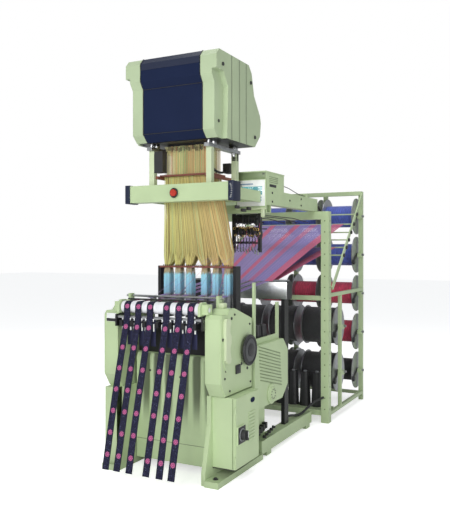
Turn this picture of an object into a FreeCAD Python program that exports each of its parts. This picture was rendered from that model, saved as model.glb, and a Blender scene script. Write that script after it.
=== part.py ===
import FreeCAD, Part
import math
import os
import re

import Sketcher

# A six-tape needle loom with an electronic pattern head, its overhead frame and its warp creel.
# Millimetres. +X is the operator's right, +Y runs from the operator to the creel, +Z is up.
# The origin is the centre of the four floor anchor holes, at floor level.

SIZES = {
    # floor rails and anchors
    "anchor_pitch_x": 800, "anchor_pitch_y": 580, "anchor_hole": 14, "foot_margin": 60,
    "foot_width": 100, "foot_length": 690, "foot_height": 40,
    "beam_tube_wide": 90, "beam_tube_high": 95, "beam_tube_wall": 6, "beam_clear": 30,
    "beam_rear": 1720, "joint_plate": 10, "pad_length": 80,
    # loom body
    "frame_inner": 320, "frame_plate": 30, "frame_top": 560, "frame_rear": 940,
    "leg_lean": 75, "leg_front": 15, "front_leg_rear": 480, "rear_leg_front": 700, "arch_top": 380,
    "crossbar": 60, "table_front": 262, "table_thick": 15,
    "panel_front": 240, "panel_sheet": 3, "panel_flute": 12, "panel_low": 40, "panel_high": 780,
    "recess_high": 1000,
    # gear housings
    "housing_inner": 340, "housing_width": 107, "housing_front": 30, "housing_rear": 490,
    "housing_nose": 1085, "housing_top": 1118, "housing_tail": 1035, "housing_wall": 10,
    "cover_sheet": 8, "rib_radius": 262, "rib_wide": 14, "rib_high": 6,
    # take-up
    "roller_radius": 40, "roller_half": 300, "roller_y": 50, "roller_z": 1115, "journal_radius": 15,
    "bearing_wide": 44, "bearing_top": 1150, "running_gap": 0.05, "seat_gap": 0.3,
    "guide_radius": 12, "guide_z": 1048, "tape_pitch": 92, "tape_wide": 45, "tape_thick": 1.5,
    "tape_fell": 230, "tape_end_y": -230, "tape_end_z": 90, "fin_wide": 22,
    # shafts
    "shaft_radius": 20, "shaft_y": 400, "shaft_z": 825, "wheel_radius": 105, "wheel_rim": 10,
    "wheel_inner_face": 468, "wheel_thick": 26, "wheel_hub": 22,
    "sley_shaft": 12, "sley_y": 330, "sley_z": 700, "sley_bar_z": 1075, "reed_high": 80,
    "needle_bar": 8, "needle_y": 204, "needle_z": 1180, "needle_reach": 262, "needle_long": 40,
    # drive
    "motor_y": 790, "motor_z": 455, "motor_radius": 82, "motor_long": 250, "motor_shaft": 14,
    "pulley_x": 385, "belt_wide": 26, "main_pulley": 45, "small_pulley": 35, "belt_thick": 5,
    "guard_front": 505, "guard_rear": 1110, "guard_top": 830, "guard_low": 385, "guard_out": 470,
    "guard_sheet": 4,
    # control cabinet
    "cabinet_inner": 350, "cabinet_out": 520, "cabinet_front": 110, "cabinet_rear": 460,
    "cabinet_low": 100, "cabinet_top": 555, "cabinet_sheet": 4, "door_thick": 7,
    "knuckle": 6, "hinge_pin": 3, "knuckle_long": 20, "switch_y": 178, "switch_z": 312,
    "knob_radius": 32, "knob_long": 34,
    "button_y": 262, "button_z": 712, "button_radius": 12, "button_travel": 4,
    # overhead frame
    "arm_inner": 365, "arm_wide": 65, "arm_low": 1835, "arm_high": 110, "arm_front": 800, "arm_rear": 1900,
    "tube_wall": 5, "front_beam_half": 395, "front_beam_y": 250, "front_beam_deep": 100, "front_beam_high": 120,
    "end_bracket": 35, "tie_wide": 26, "tie_high": 80, "cross_deep": 80, "cross_high": 63,
    "column_x": 230, "column": 40, "column_front": 300, "column_rear": 680, "column_top": 2200,
    "stop_x": -20, "stop_z": 1893, "stop_radius": 24, "stop_travel": 6,
    # pattern head
    "head_half": 360, "head_skin": 5, "hood_half": 235, "head_low": 2250, "head_high": 2822,
    "head_front": 185, "pocket_deep": 36, "head_bulge": 150, "head_rear": 850, "rail_high": 25,
    "chassis_half": 354.7, "chassis_plate": 16, "knife_lower": 2400, "knife_upper": 2520, "knife_rod": 10,
    # harness
    "cord_half_x": 160, "cord_front": 375, "cord_rear": 545, "guide_board_z": 2022, "board_thick": 12,
    "fan_half_x": 272, "fan_front": 500, "fan_rear": 588, "comb_z": 1372, "fan_low": 1420,
    "heddle_wide": 46, "heddle_deep": 36, "heddle_low": 1006, "heddle_top": 1340, "heddle_tail": 5,
    "tray_z": 930, "upright": 25,
    # yarn feeding
    "stop_box_y": 1190, "stop_box_deep": 110, "stop_box_low": 1110, "stop_box_high": 140,
    "feeder_y": 845, "feeder_radius": 30, "feeder_long": 50, "feeder_pitch": 63,
    "fork_x": 435, "fork_thick": 14,
    # display
    "display_left": 190, "display_right": 430, "display_deep": 330, "display_top": 2075,
    "panel_bottom": 1812, "panel_top": 2020, "panel_thick": 12,
    # creel
    "post_outer": 550, "post": 70, "post_front": 1850, "rear_post": 40, "rear_post_y": 2900,
    "rear_post_top": 2085, "inner_post_x": 163, "rail": 30, "mid_post_y": 2200,
    "rail_low": 60, "rail_mid": 1090, "brace_thick": 12, "brace_wide": 36,
    "rear_axle_y": 2885, "rear_axle_low": 300, "rear_axle_pitch": 384,
    "front_axle_y": 2290, "front_axle_low": 380, "front_axle_pitch": 420,
    "axle_radius": 12, "flange_radius": 180, "flange_thick": 6, "yarn_radius": 108, "full_yarn": 165,
    "spool_inner": 195, "spool_outer": 498, "spool_mid": 131,
    "shelf_deep": 220, "cone_low": 52, "cone_top": 38, "cone_high": 300, "cone_pitch": 112,
}

document = FreeCAD.newDocument("needle_loom")
sheet = document.addObject("Spreadsheet::Sheet", "Sizes")
for row, (alias, value) in enumerate(SIZES.items(), start=1):
    sheet.set(f"A{row}", alias)
    sheet.set(f"B{row}", str(value))
    sheet.setAlias(f"B{row}", alias)
document.recompute()

Vector = FreeCAD.Vector
ALONG_X = FreeCAD.Rotation(Vector(0, 1, 0), 90)
ALONG_Y = FreeCAD.Rotation(Vector(1, 0, 0), -90)
ALONG_Z = FreeCAD.Rotation()
DIRECTIONS = {"x": ALONG_X, "y": ALONG_Y, "z": ALONG_Z}
NODES = []


def size(alias):
    """The value in the sheet, for the few shapes that are made by formula."""
    return float(SIZES[alias])


def back(distance):
    """An expression for the place that lies this far behind the loom's front edge."""
    return f"({distance} - anchor_pitch_y / 2 - foot_margin)"


def back_mm(distance):
    """The same place as a number."""
    return distance - size("anchor_pitch_y") / 2 - size("foot_margin")


def bind(thing, path, expression):
    """Ties one property to the sheet."""
    text = re.sub(r"[a-z][a-z_]+", lambda word: f"Sizes.{word.group(0)}", str(expression))
    thing.setExpression(path, text)


def place(thing, at):
    """Ties a placement's base to three expressions."""
    for axis, expression in zip("xyz", at):
        bind(thing, f"Placement.Base.{axis}", expression)


def box(name, sides, at):
    """A block with its lowest corner at a place."""
    block = document.addObject("Part::Box", name)
    for path, expression in zip(("Length", "Width", "Height"), sides):
        bind(block, path, expression)
    place(block, at)
    return block


def rod(name, radius, length, start, along="z"):
    """A round bar that starts at a place and runs along one axis."""
    bar = document.addObject("Part::Cylinder", name)
    bar.Placement = FreeCAD.Placement(Vector(), DIRECTIONS[along])
    bind(bar, "Radius", radius)
    bind(bar, "Height", length)
    place(bar, start)
    return bar


def taper(name, low_radius, high_radius, length, start, along="z"):
    """A cone that starts at a place and runs along one axis."""
    cone = document.addObject("Part::Cone", name)
    cone.Placement = FreeCAD.Placement(Vector(), DIRECTIONS[along])
    bind(cone, "Radius1", low_radius)
    bind(cone, "Radius2", high_radius)
    bind(cone, "Height", length)
    place(cone, start)
    return cone


def outline(name, plane, corners, length, at=("0", "0", "0")):
    """A body padded from a closed sketch whose corners are expressions in the plane."""
    body = document.addObject("PartDesign::Body", name)
    sketch = body.newObject("Sketcher::SketchObject", f"{name}_sketch")
    support = next(feature for feature in body.Origin.OriginFeatures if feature.Role == plane)
    sketch.AttachmentSupport = (support, [""])
    sketch.MapMode = "FlatFace"
    count = len(corners)
    turn = 2 * math.pi / count
    ring = [Vector(math.cos(turn * step), math.sin(turn * step), 0) for step in range(count)]
    for step in range(count):
        sketch.addGeometry(Part.LineSegment(ring[step], ring[(step + 1) % count]))
    for step in range(count):
        sketch.addConstraint(Sketcher.Constraint("Coincident", step, 2, (step + 1) % count, 1))
    for step, corner in enumerate(corners):
        for kind, expression in zip(("DistanceX", "DistanceY"), corner):
            index = sketch.addConstraint(Sketcher.Constraint(kind, -1, 1, step, 1, 1.0))
            bind(sketch, f"Constraints[{index}]", expression)
    pad = body.newObject("PartDesign::Pad", f"{name}_pad")
    pad.Profile = sketch
    bind(pad, "Length", length)
    body.Tip = pad
    place(body, at)
    return body


def side_outline(name, corners, length, start_x):
    """A body whose profile is given as (back, up) corners and whose thickness runs along +X."""
    return outline(name, "YZ_Plane", corners, length, at=(start_x, "0", "0"))


def cut(name, base, *tools):
    """The base with every tool taken away."""
    for number, tool in enumerate(tools):
        piece = document.addObject("Part::Cut", f"{name}_{number}")
        piece.Base = base
        piece.Tool = tool
        base = piece
    return base


def fuse(name, *pieces):
    """One piece made of several that meet."""
    joined = document.addObject("Part::MultiFuse", name)
    joined.Shapes = list(pieces)
    return joined


def mirrored(piece):
    """The same piece on the loom's other side."""
    other = document.addObject("Part::Mirroring", f"{piece.Name}_left")
    other.Source = piece
    other.Normal = Vector(1, 0, 0)
    return other


def both(*pieces):
    """Each piece with its mirror image."""
    return [side for piece in pieces for side in (piece, mirrored(piece))]


def node(label, *pieces):
    """A named sub-part: one piece, or separate pieces that travel together."""
    if len(pieces) == 1:
        part = pieces[0]
    else:
        part = document.addObject("Part::Compound", f"{label}_group")
        part.Links = list(pieces)
    part.Label = label
    NODES.append(part)
    return part


def shaped(label, shape):
    """A named sub-part whose shape comes from a formula."""
    part = document.addObject("Part::Feature", label)
    part.Shape = shape
    return node(label, part)


def square_tube(name, sides, at, along):
    """A tube of rectangular section, open at both ends of one axis."""
    outer = box(f"{name}_outer", sides, at)
    inner_sides = [side if axis == along else f"{side} - 2 * tube_wall" for axis, side in zip("xyz", sides)]
    inner_at = [start if axis == along else f"{start} + tube_wall" for axis, start in zip("xyz", at)]
    return cut(name, outer, box(f"{name}_inner", inner_sides, inner_at))


# ---------------------------------------------------------------- floor rails
foot_x = "(anchor_pitch_x / 2 - foot_width / 2)"
foot = box("foot", ("foot_width", "foot_length", "foot_height"), (foot_x, back("0"), "0"))
foot_holes = [
    rod(
        f"anchor_hole_{step}", "anchor_hole / 2", "foot_height",
        ("anchor_pitch_x / 2", f"{sign} * anchor_pitch_y / 2", "0"),
    )
    for step, sign in enumerate((-1, 1))
]
node("foot_rails", *both(cut("drilled_foot", foot, *foot_holes)))

beam_x = foot_x
joint = box(
    "joint", ("beam_tube_wide", "joint_plate", "beam_clear + beam_tube_high"),
    (beam_x, back("foot_length"), "0"),
)
beam_y = "(foot_length + joint_plate)"
beam_outer = box(
    "beam_outer", ("beam_tube_wide", f"beam_rear - {beam_y}", "beam_tube_high"),
    (beam_x, back(beam_y), "beam_clear"),
)
beam_inner = box(
    "beam_inner",
    ("beam_tube_wide - 2 * beam_tube_wall", f"beam_rear - {beam_y}", "beam_tube_high - 2 * beam_tube_wall"),
    (f"{beam_x} + beam_tube_wall", back(beam_y), "beam_clear + beam_tube_wall"),
)
beam_cap = box(
    "beam_cap", ("beam_tube_wide", "tube_wall", "beam_tube_high"),
    (beam_x, back("beam_rear"), "beam_clear"),
)
beam_pads = [
    box(f"beam_pad_{step}", ("beam_tube_wide", "pad_length", "beam_clear"), (beam_x, back(place_y), "0"))
    for step, place_y in enumerate((f"{beam_y} + pad_length", "beam_rear - 1.5 * pad_length"))
]
node("side_beams", *both(joint, cut("beam_tube", beam_outer, beam_inner), beam_cap, *beam_pads))

# ---------------------------------------------------------------- loom body
frame_corners = [
    (back("leg_front"), "0"),
    (back("leg_front"), "2 * foot_height"),
    (back("leg_front + leg_lean"), "frame_top - 2 * foot_width"),
    (back("leg_front + leg_lean"), "frame_top"),
    (back("frame_rear"), "frame_top"),
    (back("frame_rear"), "0"),
    (back("rear_leg_front"), "0"),
    (back("rear_leg_front"), "arch_top"),
    (back("front_leg_rear"), "arch_top"),
    (back("front_leg_rear"), "0"),
]
frame_plate = side_outline("frame_plate", frame_corners, "frame_plate", "frame_inner")
motor_bore = rod(
    "motor_bore", "3 * motor_shaft", "frame_plate", ("frame_inner", back("motor_y"), "motor_z"), "x",
)
right_frame = cut("right_frame", frame_plate, motor_bore)

span = "2 * frame_inner"
crossbars = [
    box(f"crossbar_{step}", (span, "crossbar", "crossbar"), ("-frame_inner", back(place_y), place_z))
    for step, (place_y, place_z) in enumerate((
        ("leg_front + 4 * leg_lean", "frame_top - table_thick - crossbar"),
        ("frame_rear - crossbar", "frame_top - table_thick - crossbar"),
        ("leg_front + 4 * leg_lean", "crossbar"),
        ("frame_rear - crossbar", "crossbar"),
    ))
]
table = box(
    "table", (span, "frame_rear - table_front", "table_thick"),
    ("-frame_inner", back("table_front"), "frame_top - table_thick"),
)
recess = box(
    "recess",
    (span, "panel_sheet", "recess_high - panel_high"),
    ("-frame_inner", back("panel_front + panel_flute + panel_sheet"), "panel_high"),
)
recess_foot = box(
    "recess_foot",
    (span, "crossbar / 2", "panel_sheet"),
    ("-frame_inner", back("panel_front + panel_flute + panel_sheet"), "panel_high - panel_sheet"),
)
stay = box(
    "stay",
    ("crossbar / 2", "crossbar / 2", "panel_high - panel_sheet - frame_top"),
    ("frame_inner - crossbar", back("table_front"), "frame_top"),
)
node("bed_crossbars", *crossbars, table, fuse("recess_sheet", recess, recess_foot), *both(stay))

FLUTES = 6
flute_pitch = f"(2 * frame_inner / {FLUTES})"
front_line = []
for flute in range(FLUTES):
    base = f"(-frame_inner + {flute} * {flute_pitch})"
    front_line += [
        (f"{base} + 0.00 * {flute_pitch}", back("panel_front + panel_flute")),
        (f"{base} + 0.12 * {flute_pitch}", back("panel_front")),
        (f"{base} + 0.78 * {flute_pitch}", back("panel_front")),
        (f"{base} + 0.90 * {flute_pitch}", back("panel_front + panel_flute")),
    ]
front_line.append(("frame_inner", back("panel_front + panel_flute")))
rear_line = [(across, f"{depth} + panel_sheet") for across, depth in reversed(front_line)]
node(
    "front_panel",
    outline(
        "panel", "XY_Plane", front_line + rear_line, "panel_high - panel_low", at=("0", "0", "panel_low"),
    ),
)

left_case = box(
    "left_case",
    ("foot_width - 5", "front_leg_rear - leg_front - 20", "frame_top - foot_height"),
    ("-frame_inner - frame_plate - foot_width + 5", back("leg_front + 15"), "foot_height"),
)
left_hollow = box(
    "left_hollow",
    (
        "foot_width - 5 - cabinet_sheet", "front_leg_rear - leg_front - 20 - 2 * cabinet_sheet",
        "frame_top - foot_height - 2 * cabinet_sheet",
    ),
    (
        "-frame_inner - frame_plate - foot_width + 5 + cabinet_sheet",
        back("leg_front + 15 + cabinet_sheet"), "foot_height + cabinet_sheet",
    ),
)
node("side_frames", right_frame, mirrored(frame_plate), cut("left_cover", left_case, left_hollow))


def housing_profile(inset):
    """The gear housing's side profile, drawn in by an inset."""
    return [
        (back(f"housing_front + {inset}"), f"frame_top + 2 * crossbar - 30 + {inset}"),
        (back(f"housing_front + {inset}"), f"housing_nose - 25 - {inset} / 2"),
        (back(f"housing_front + 20 + {inset}"), f"housing_nose - {inset}"),
        (back(f"housing_front + 85 + {inset}"), f"housing_nose - {inset}"),
        (back(f"housing_front + 120 + {inset}"), f"housing_top - {inset}"),
        (back(f"housing_front + 205 - {inset} / 4"), f"housing_top - {inset}"),
        (back(f"housing_rear - {inset}"), f"housing_tail - {inset}"),
        (back(f"housing_rear - {inset}"), f"frame_top + {inset}"),
        (back(f"housing_front + 60 + {inset} / 2"), f"frame_top + {inset}"),
    ]


housing_block = side_outline("housing_block", housing_profile("0"), "housing_width", "housing_inner")
housing_room = side_outline(
    "housing_room", housing_profile("housing_wall"), "housing_width", "housing_inner + housing_wall"
)
shaft_bore = rod(
    "shaft_bore", "shaft_radius + running_gap", "2 * housing_width",
    ("housing_inner - 1", back("shaft_y"), "shaft_z"), "x",
)
sley_bore = rod(
    "sley_bore", "sley_shaft + running_gap", "2 * housing_wall",
    ("housing_inner - 1", back("sley_y"), "sley_z"), "x",
)
housing = cut("housing", housing_block, housing_room, shaft_bore, sley_bore)
belt_slot = box(
    "belt_slot",
    ("2 * belt_wide", "4 * housing_wall", "shaft_z - frame_top - housing_wall"),
    ("pulley_x - belt_wide / 2", back("housing_rear - 2 * housing_wall"), "frame_top + 2 * housing_wall"),
)
node("gear_housings", cut("right_housing", housing, belt_slot), mirrored(housing))

cover_start = "(housing_inner + housing_width)"
cover_plate = side_outline("cover_plate", housing_profile("3"), "cover_sheet", cover_start)
cover_bore = rod(
    "cover_bore", "shaft_radius + running_gap", "2 * cover_sheet",
    (f"{cover_start} - 1", back("shaft_y"), "shaft_z"), "x",
)
rib_disc = document.addObject("Part::Cylinder", "rib_disc")
rib_core = document.addObject("Part::Cylinder", "rib_core")
for ring, radius in ((rib_disc, "rib_radius"), (rib_core, "rib_radius - rib_wide")):
    ring.Placement = FreeCAD.Placement(Vector(), ALONG_X.multiply(FreeCAD.Rotation(Vector(0, 0, 1), 235)))
    ring.Angle = 70
    bind(ring, "Radius", radius)
    bind(ring, "Height", "rib_high")
    place(ring, (f"{cover_start} + cover_sheet", back("housing_front + 20 + rib_radius"), "shaft_z + 40"))
cover_sides = both(cut("cover_right", cover_plate, cover_bore), cut("cover_rib", rib_disc, rib_core))

screw_places = [
    ("housing_front + 50", "frame_top + 120"), ("housing_front + 190", "housing_top - 40"),
    ("housing_rear - 40", "housing_tail - 40"), ("housing_rear - 30", "frame_top + 40"), (
        "housing_front + 120", "frame_top + 30",
    ),
]
cover_screws = [
    rod(f"cover_screw_{step}", "7", "5", (f"{cover_start} + cover_sheet", back(place_y), place_z), "x")
    for step, (place_y, place_z) in enumerate(screw_places)
]
head_screw_places = [
    ("head_half", "head_front + 50", "head_high - 90"), ("head_half", "head_rear - 180", "head_high - 120"),
    ("head_half - pocket_deep", "head_front + 60", "head_low + 110"), (
        "head_half", "head_rear - 110", "head_low + 70",
    ),
]
head_screws = [
    rod(f"head_screw_{step}", "11", "4", (place_x, back(place_y), place_z), "x")
    for step, (place_x, place_y, place_z) in enumerate(head_screw_places)
]
node("cover_screws", *both(*cover_screws, *head_screws))

# ---------------------------------------------------------------- take-up
bearing_x = "(housing_inner - bearing_wide / 2)"
bearing_block = box(
    "bearing_block", ("bearing_wide", "62", "bearing_top - housing_nose"), (
        bearing_x, back("roller_y - 26"), "housing_nose",
    )
)
bearing_bore = rod(
    "bearing_bore", "journal_radius + running_gap", "bearing_wide",
    (bearing_x, back("roller_y"), "roller_z"), "x",
)
roller_bearing = cut("roller_bearing", bearing_block, bearing_bore)

barrel = rod(
    "barrel", "roller_radius", "2 * roller_half", ("-roller_half", back("roller_y"), "roller_z"), "x",
)
journal = rod(
    "journal", "journal_radius", "2 * (housing_inner + bearing_wide / 2)",
    ("-housing_inner - bearing_wide / 2", back("roller_y"), "roller_z"), "x",
)
node("take_up_roller", fuse("roller", barrel, journal))

guide_y = "(roller_y - roller_radius + guide_radius)"
node(
    "guide_roller",
    rod(
        "guide_bar", "guide_radius", "2 * (housing_inner - 4)",
        ("-housing_inner + 4", back(guide_y), "guide_z"), "x",
    ),
)

guide_bar = box(
    "guide_rail", ("2 * housing_inner - 24", "30", "45"),
    ("12 - housing_inner", back("55"), "guide_z - 63"),
)
fins = [
    box(
        f"fin_{step}", ("fin_wide", "67", "40"),
        (f"({centre}) - fin_wide / 2", back("-12"), "guide_z - 60"),
    )
    for step, centre in enumerate((
        "-3.1 * tape_pitch", "-2 * tape_pitch - 15", "-tape_pitch - 10", "0",
        "tape_pitch + 10", "2 * tape_pitch + 15", "3.1 * tape_pitch",
    ))
]
end_plate = box("end_plate", ("12", "85", "80"), ("housing_inner - 12", back("0"), "guide_z - 63"))
end_bore = rod(
    "end_bore", "guide_radius + running_gap", "12", ("housing_inner - 12", back(guide_y), "guide_z"), "x",
)
node("tape_guides", fuse("guide_comb", guide_bar, *fins), *both(cut("guide_end", end_plate, end_bore)))


def tape_centres():
    """The middles of the six tapes: three each side of a wider gap at the centre."""
    pitch = size("tape_pitch")
    return [side * (pitch * step - 27) for side in (-1, 1) for step in (1, 2, 3)]


def tape_section(lift):
    """One face of the tape, from the fell over the roller and down, this far off the roller."""
    reach = size("roller_radius") + lift
    axis_y, axis_z = back_mm(size("roller_y")), size("roller_z")
    turn_z = size("guide_z") - 4
    slope = Vector(
        0, back_mm(size("tape_end_y")) - axis_y + size("roller_radius"), size("tape_end_z") - turn_z,
    )
    slope.normalize()
    normal = Vector(0, slope.z, -slope.y)
    top = Vector(0, axis_y, axis_z + reach)
    front = Vector(0, axis_y - reach, axis_z)
    middle = Vector(0, axis_y - reach * math.sqrt(0.5), axis_z + reach * math.sqrt(0.5))
    fell = Vector(0, back_mm(size("tape_fell")), top.z)
    turn = Vector(0, front.y, turn_z)
    end = Vector(0, back_mm(size("tape_end_y")), size("tape_end_z")) + normal * (lift - size("seat_gap"))
    return fell, top, middle, front, turn, end


def tape_shape(centre):
    """A woven tape of even thickness."""
    start = size("seat_gap")
    inner = tape_section(start)
    outer = tape_section(start + size("tape_thick"))
    edges = [
        Part.makeLine(inner[0], inner[1]), Part.Arc(inner[1], inner[2], inner[3]).toShape(),
        Part.makeLine(inner[3], inner[4]), Part.makeLine(inner[4], inner[5]), Part.makeLine(inner[5], outer[5]),
        Part.makeLine(outer[5], outer[4]), Part.makeLine(outer[4], outer[3]),
        Part.Arc(outer[3], outer[2], outer[1]).toShape(), Part.makeLine(outer[1], outer[0]),
        Part.makeLine(outer[0], inner[0]),
    ]
    face = Part.Face(Part.Wire(edges))
    tape = face.extrude(Vector(size("tape_wide"), 0, 0))
    tape.translate(Vector(centre - size("tape_wide") / 2, 0, 0))
    return tape


shaped("woven_tapes", Part.makeCompound([tape_shape(centre) for centre in tape_centres()]))

# ---------------------------------------------------------------- drive
shaft_bar = rod(
    "shaft_bar", "shaft_radius", f"{cover_start} + wheel_inner_face + wheel_thick",
    (f"-{cover_start}", back("shaft_y"), "shaft_z"), "x",
)
shaft_pulley = rod(
    "shaft_pulley", "main_pulley", "belt_wide", ("pulley_x", back("shaft_y"), "shaft_z"), "x",
)
node("main_shaft", fuse("keyed_shaft", shaft_bar, shaft_pulley))

rim = document.addObject("Part::Torus", "wheel_ring")
rim.Placement = FreeCAD.Placement(Vector(), ALONG_X)
bind(rim, "Radius1", "wheel_radius - wheel_rim")
bind(rim, "Radius2", "wheel_rim")
place(rim, ("wheel_inner_face + wheel_thick / 2", back("shaft_y"), "shaft_z"))
wheel_disc = rod(
    "wheel_disc", "wheel_radius - wheel_rim", "wheel_thick / 3",
    ("wheel_inner_face + wheel_thick / 3", back("shaft_y"), "shaft_z"), "x",
)
wheel_boss = rod(
    "wheel_boss", "2 * wheel_hub", "wheel_thick", ("wheel_inner_face", back("shaft_y"), "shaft_z"), "x",
)
wheel_bore = rod(
    "wheel_bore", "shaft_radius", "2 * wheel_thick", ("wheel_inner_face - 1", back("shaft_y"), "shaft_z"),
    "x",
)
node("handwheel", cut("bored_wheel", fuse("wheel", rim, wheel_disc, wheel_boss), wheel_bore))

motor_x = "(frame_inner - motor_long)"
motor_can = rod("motor_can", "motor_radius", "motor_long", (motor_x, back("motor_y"), "motor_z"), "x")
motor_foot = box(
    "motor_foot", ("motor_long / 2", "motor_radius", "frame_top - table_thick - motor_z"),
    ("frame_inner - 0.75 * motor_long", back("motor_y - motor_radius / 2"), "motor_z"),
)
motor_hollow = rod(
    "motor_hollow", "motor_shaft + 1", "motor_long",
    ("frame_inner - motor_long / 2", back("motor_y"), "motor_z"), "x",
)
node("drive_motor", cut("motor", fuse("motor_body", motor_can, motor_foot), motor_hollow))
motor_spindle = rod(
    "motor_spindle", "motor_shaft", "pulley_x + belt_wide - frame_inner + 50",
    ("frame_inner - 50", back("motor_y"), "motor_z"), "x",
)
motor_sheave = rod(
    "motor_sheave", "small_pulley", "belt_wide", ("pulley_x", back("motor_y"), "motor_z"), "x",
)
node("motor_pulley", fuse("pulley", motor_spindle, motor_sheave))


def belt_face(extra):
    """The outline round both pulleys, this far off them."""
    big, small = size("main_pulley") + extra, size("small_pulley") + extra
    start = Vector(0, back_mm(size("shaft_y")), size("shaft_z"))
    end = Vector(0, back_mm(size("motor_y")), size("motor_z"))
    line = end - start
    lean = math.acos((big - small) / line.Length)
    heading = math.atan2(line.z, line.y)

    def rim_point(centre, radius, angle):
        return centre + Vector(0, math.cos(angle), math.sin(angle)) * radius

    upper, lower, away = heading + lean, heading - lean, heading + math.pi
    edges = [
        Part.makeLine(rim_point(start, big, upper), rim_point(end, small, upper)),
        Part.Arc(rim_point(end, small, upper), rim_point(end, small, heading), rim_point(end, small, lower)).toShape(),
        Part.makeLine(rim_point(end, small, lower), rim_point(start, big, lower)),
        Part.Arc(rim_point(start, big, lower), rim_point(start, big, away), rim_point(start, big, upper)).toShape(),
    ]
    return Part.Face(Part.Wire(edges))


belt_ring = belt_face(size("seat_gap") + size("belt_thick")).cut(belt_face(size("seat_gap")))
belt = belt_ring.extrude(Vector(size("belt_wide"), 0, 0))
belt.translate(Vector(size("pulley_x"), 0, 0))
shaped("drive_belt", belt)


def guard_profile(inset):
    """The belt guard's side profile, drawn in by an inset."""
    return [
        (back(f"guard_front + {inset}"), f"guard_low + 40 + {inset} / 2"),
        (back(f"guard_front + {inset}"), f"guard_top - 10 - {inset} / 2"),
        (back(f"guard_front + 15 + {inset} / 2"), f"guard_top - {inset}"),
        (back(f"guard_rear - 90 - {inset} / 2"), f"guard_top - {inset}"),
        (back(f"guard_rear - {inset}"), f"guard_top - 90 - {inset} / 2"),
        (back(f"guard_rear - {inset}"), f"guard_low + 90 + {inset} / 2"),
        (back(f"guard_rear - 110 - {inset} / 2"), f"guard_low + {inset}"),
        (back(f"guard_front + 55 + {inset} / 2"), f"guard_low + {inset}"),
    ]


guard_start = "(frame_inner + frame_plate)"
guard_block = side_outline("guard_block", guard_profile("0"), f"guard_out - {guard_start}", guard_start)
guard_room = side_outline(
    "guard_room", guard_profile("guard_sheet"), f"guard_out - guard_sheet - {guard_start}", guard_start,
)
guard_slot = box(
    "guard_slot", ("2 * belt_wide", "6 * guard_sheet", "guard_top - guard_low - 68"),
    ("pulley_x - belt_wide / 2", back("guard_front - 2 * guard_sheet"), "guard_low + 50"),
)
node("belt_guard", cut("guard", guard_block, guard_room, guard_slot))

# ---------------------------------------------------------------- control cabinet
box_out = "(cabinet_out - door_thick)"
case = box(
    "case", (f"{box_out} - cabinet_inner", "cabinet_rear - cabinet_front", "cabinet_top - cabinet_low"),
    ("cabinet_inner", back("cabinet_front"), "cabinet_low"),
)
case_room = box(
    "case_room",
    (
        f"{box_out} - cabinet_inner", "cabinet_rear - cabinet_front - 2 * cabinet_sheet",
        "cabinet_top - cabinet_low - 2 * cabinet_sheet",
    ),
    ("cabinet_inner + cabinet_sheet", back("cabinet_front + cabinet_sheet"), "cabinet_low + cabinet_sheet"),
)
hinge_x, hinge_y = "(cabinet_out - 1)", back("cabinet_front - knuckle + 1")
hinge_levels = ["cabinet_low + 40", "cabinet_top - 100"]
case_knuckles = [
    rod(f"case_knuckle_{step}", "knuckle", "knuckle_long", (hinge_x, hinge_y, level)) for step, level in enumerate(hinge_levels)
]
case_pins = [
    rod(f"case_pin_{step}", "hinge_pin", "2 * knuckle_long", (hinge_x, hinge_y, level)) for step, level in enumerate(hinge_levels)
]
node("control_cabinet", fuse("cabinet", cut("case_shell", case, case_room), *case_knuckles, *case_pins))

door_y = "(cabinet_front + 3)"
door = box(
    "door", (f"door_thick - seat_gap", f"cabinet_rear - {door_y}", "cabinet_top - cabinet_low - 4"),
    (f"{box_out} + seat_gap", back(door_y), "cabinet_low + 2"),
)
door_knuckles = []
for step, level in enumerate(hinge_levels):
    barrel_z = f"({level} + knuckle_long + seat_gap)"
    eye = rod(f"door_eye_{step}", "knuckle", "knuckle_long", (hinge_x, hinge_y, barrel_z))
    leaf = box(
        f"door_leaf_{step}", ("door_thick - seat_gap", "knuckle + 4", "knuckle_long"),
        (f"{box_out} + seat_gap", back("cabinet_front - 5"), barrel_z),
    )
    bore = rod(
        f"door_bore_{step}", "hinge_pin + running_gap", "knuckle_long + 2",
        (hinge_x, hinge_y, f"{barrel_z} - 1"),
    )
    door_knuckles.append(cut(f"door_knuckle_{step}", fuse(f"door_hinge_{step}", eye, leaf), bore))
clearance = [
    rod(f"door_relief_{step}", "knuckle + 1", "knuckle_long + 1", (hinge_x, hinge_y, f"{level} - 0.5"))
    for step, level in enumerate(hinge_levels)
]
switch_plate = box(
    "switch_plate", ("10", "100", "120"), ("cabinet_out", back("switch_y - 58"), "switch_z - 60"),
)
switch_bore = rod(
    "switch_bore", "8 + running_gap", "12", ("cabinet_out", back("switch_y"), "switch_z"), "x",
)
node(
    "cabinet_door", fuse("door_leafed", cut("door_panel", door, *clearance), *door_knuckles),
    cut("switch_base", switch_plate, switch_bore),
)
knob = rod("knob", "knob_radius", "knob_long", ("cabinet_out + 10.3", back("switch_y"), "switch_z"), "x")
knob_bar = box(
    "knob_bar", ("12", "14", "2 * knob_radius - 6"),
    ("cabinet_out + 10 + knob_long", back("switch_y - 7"), "switch_z - knob_radius + 3"),
)
knob_stem = rod("knob_stem", "8", "12", ("cabinet_out + 1", back("switch_y"), "switch_z"), "x")
node("rotary_switch", fuse("switch_knob", knob, knob_bar, knob_stem))

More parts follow.
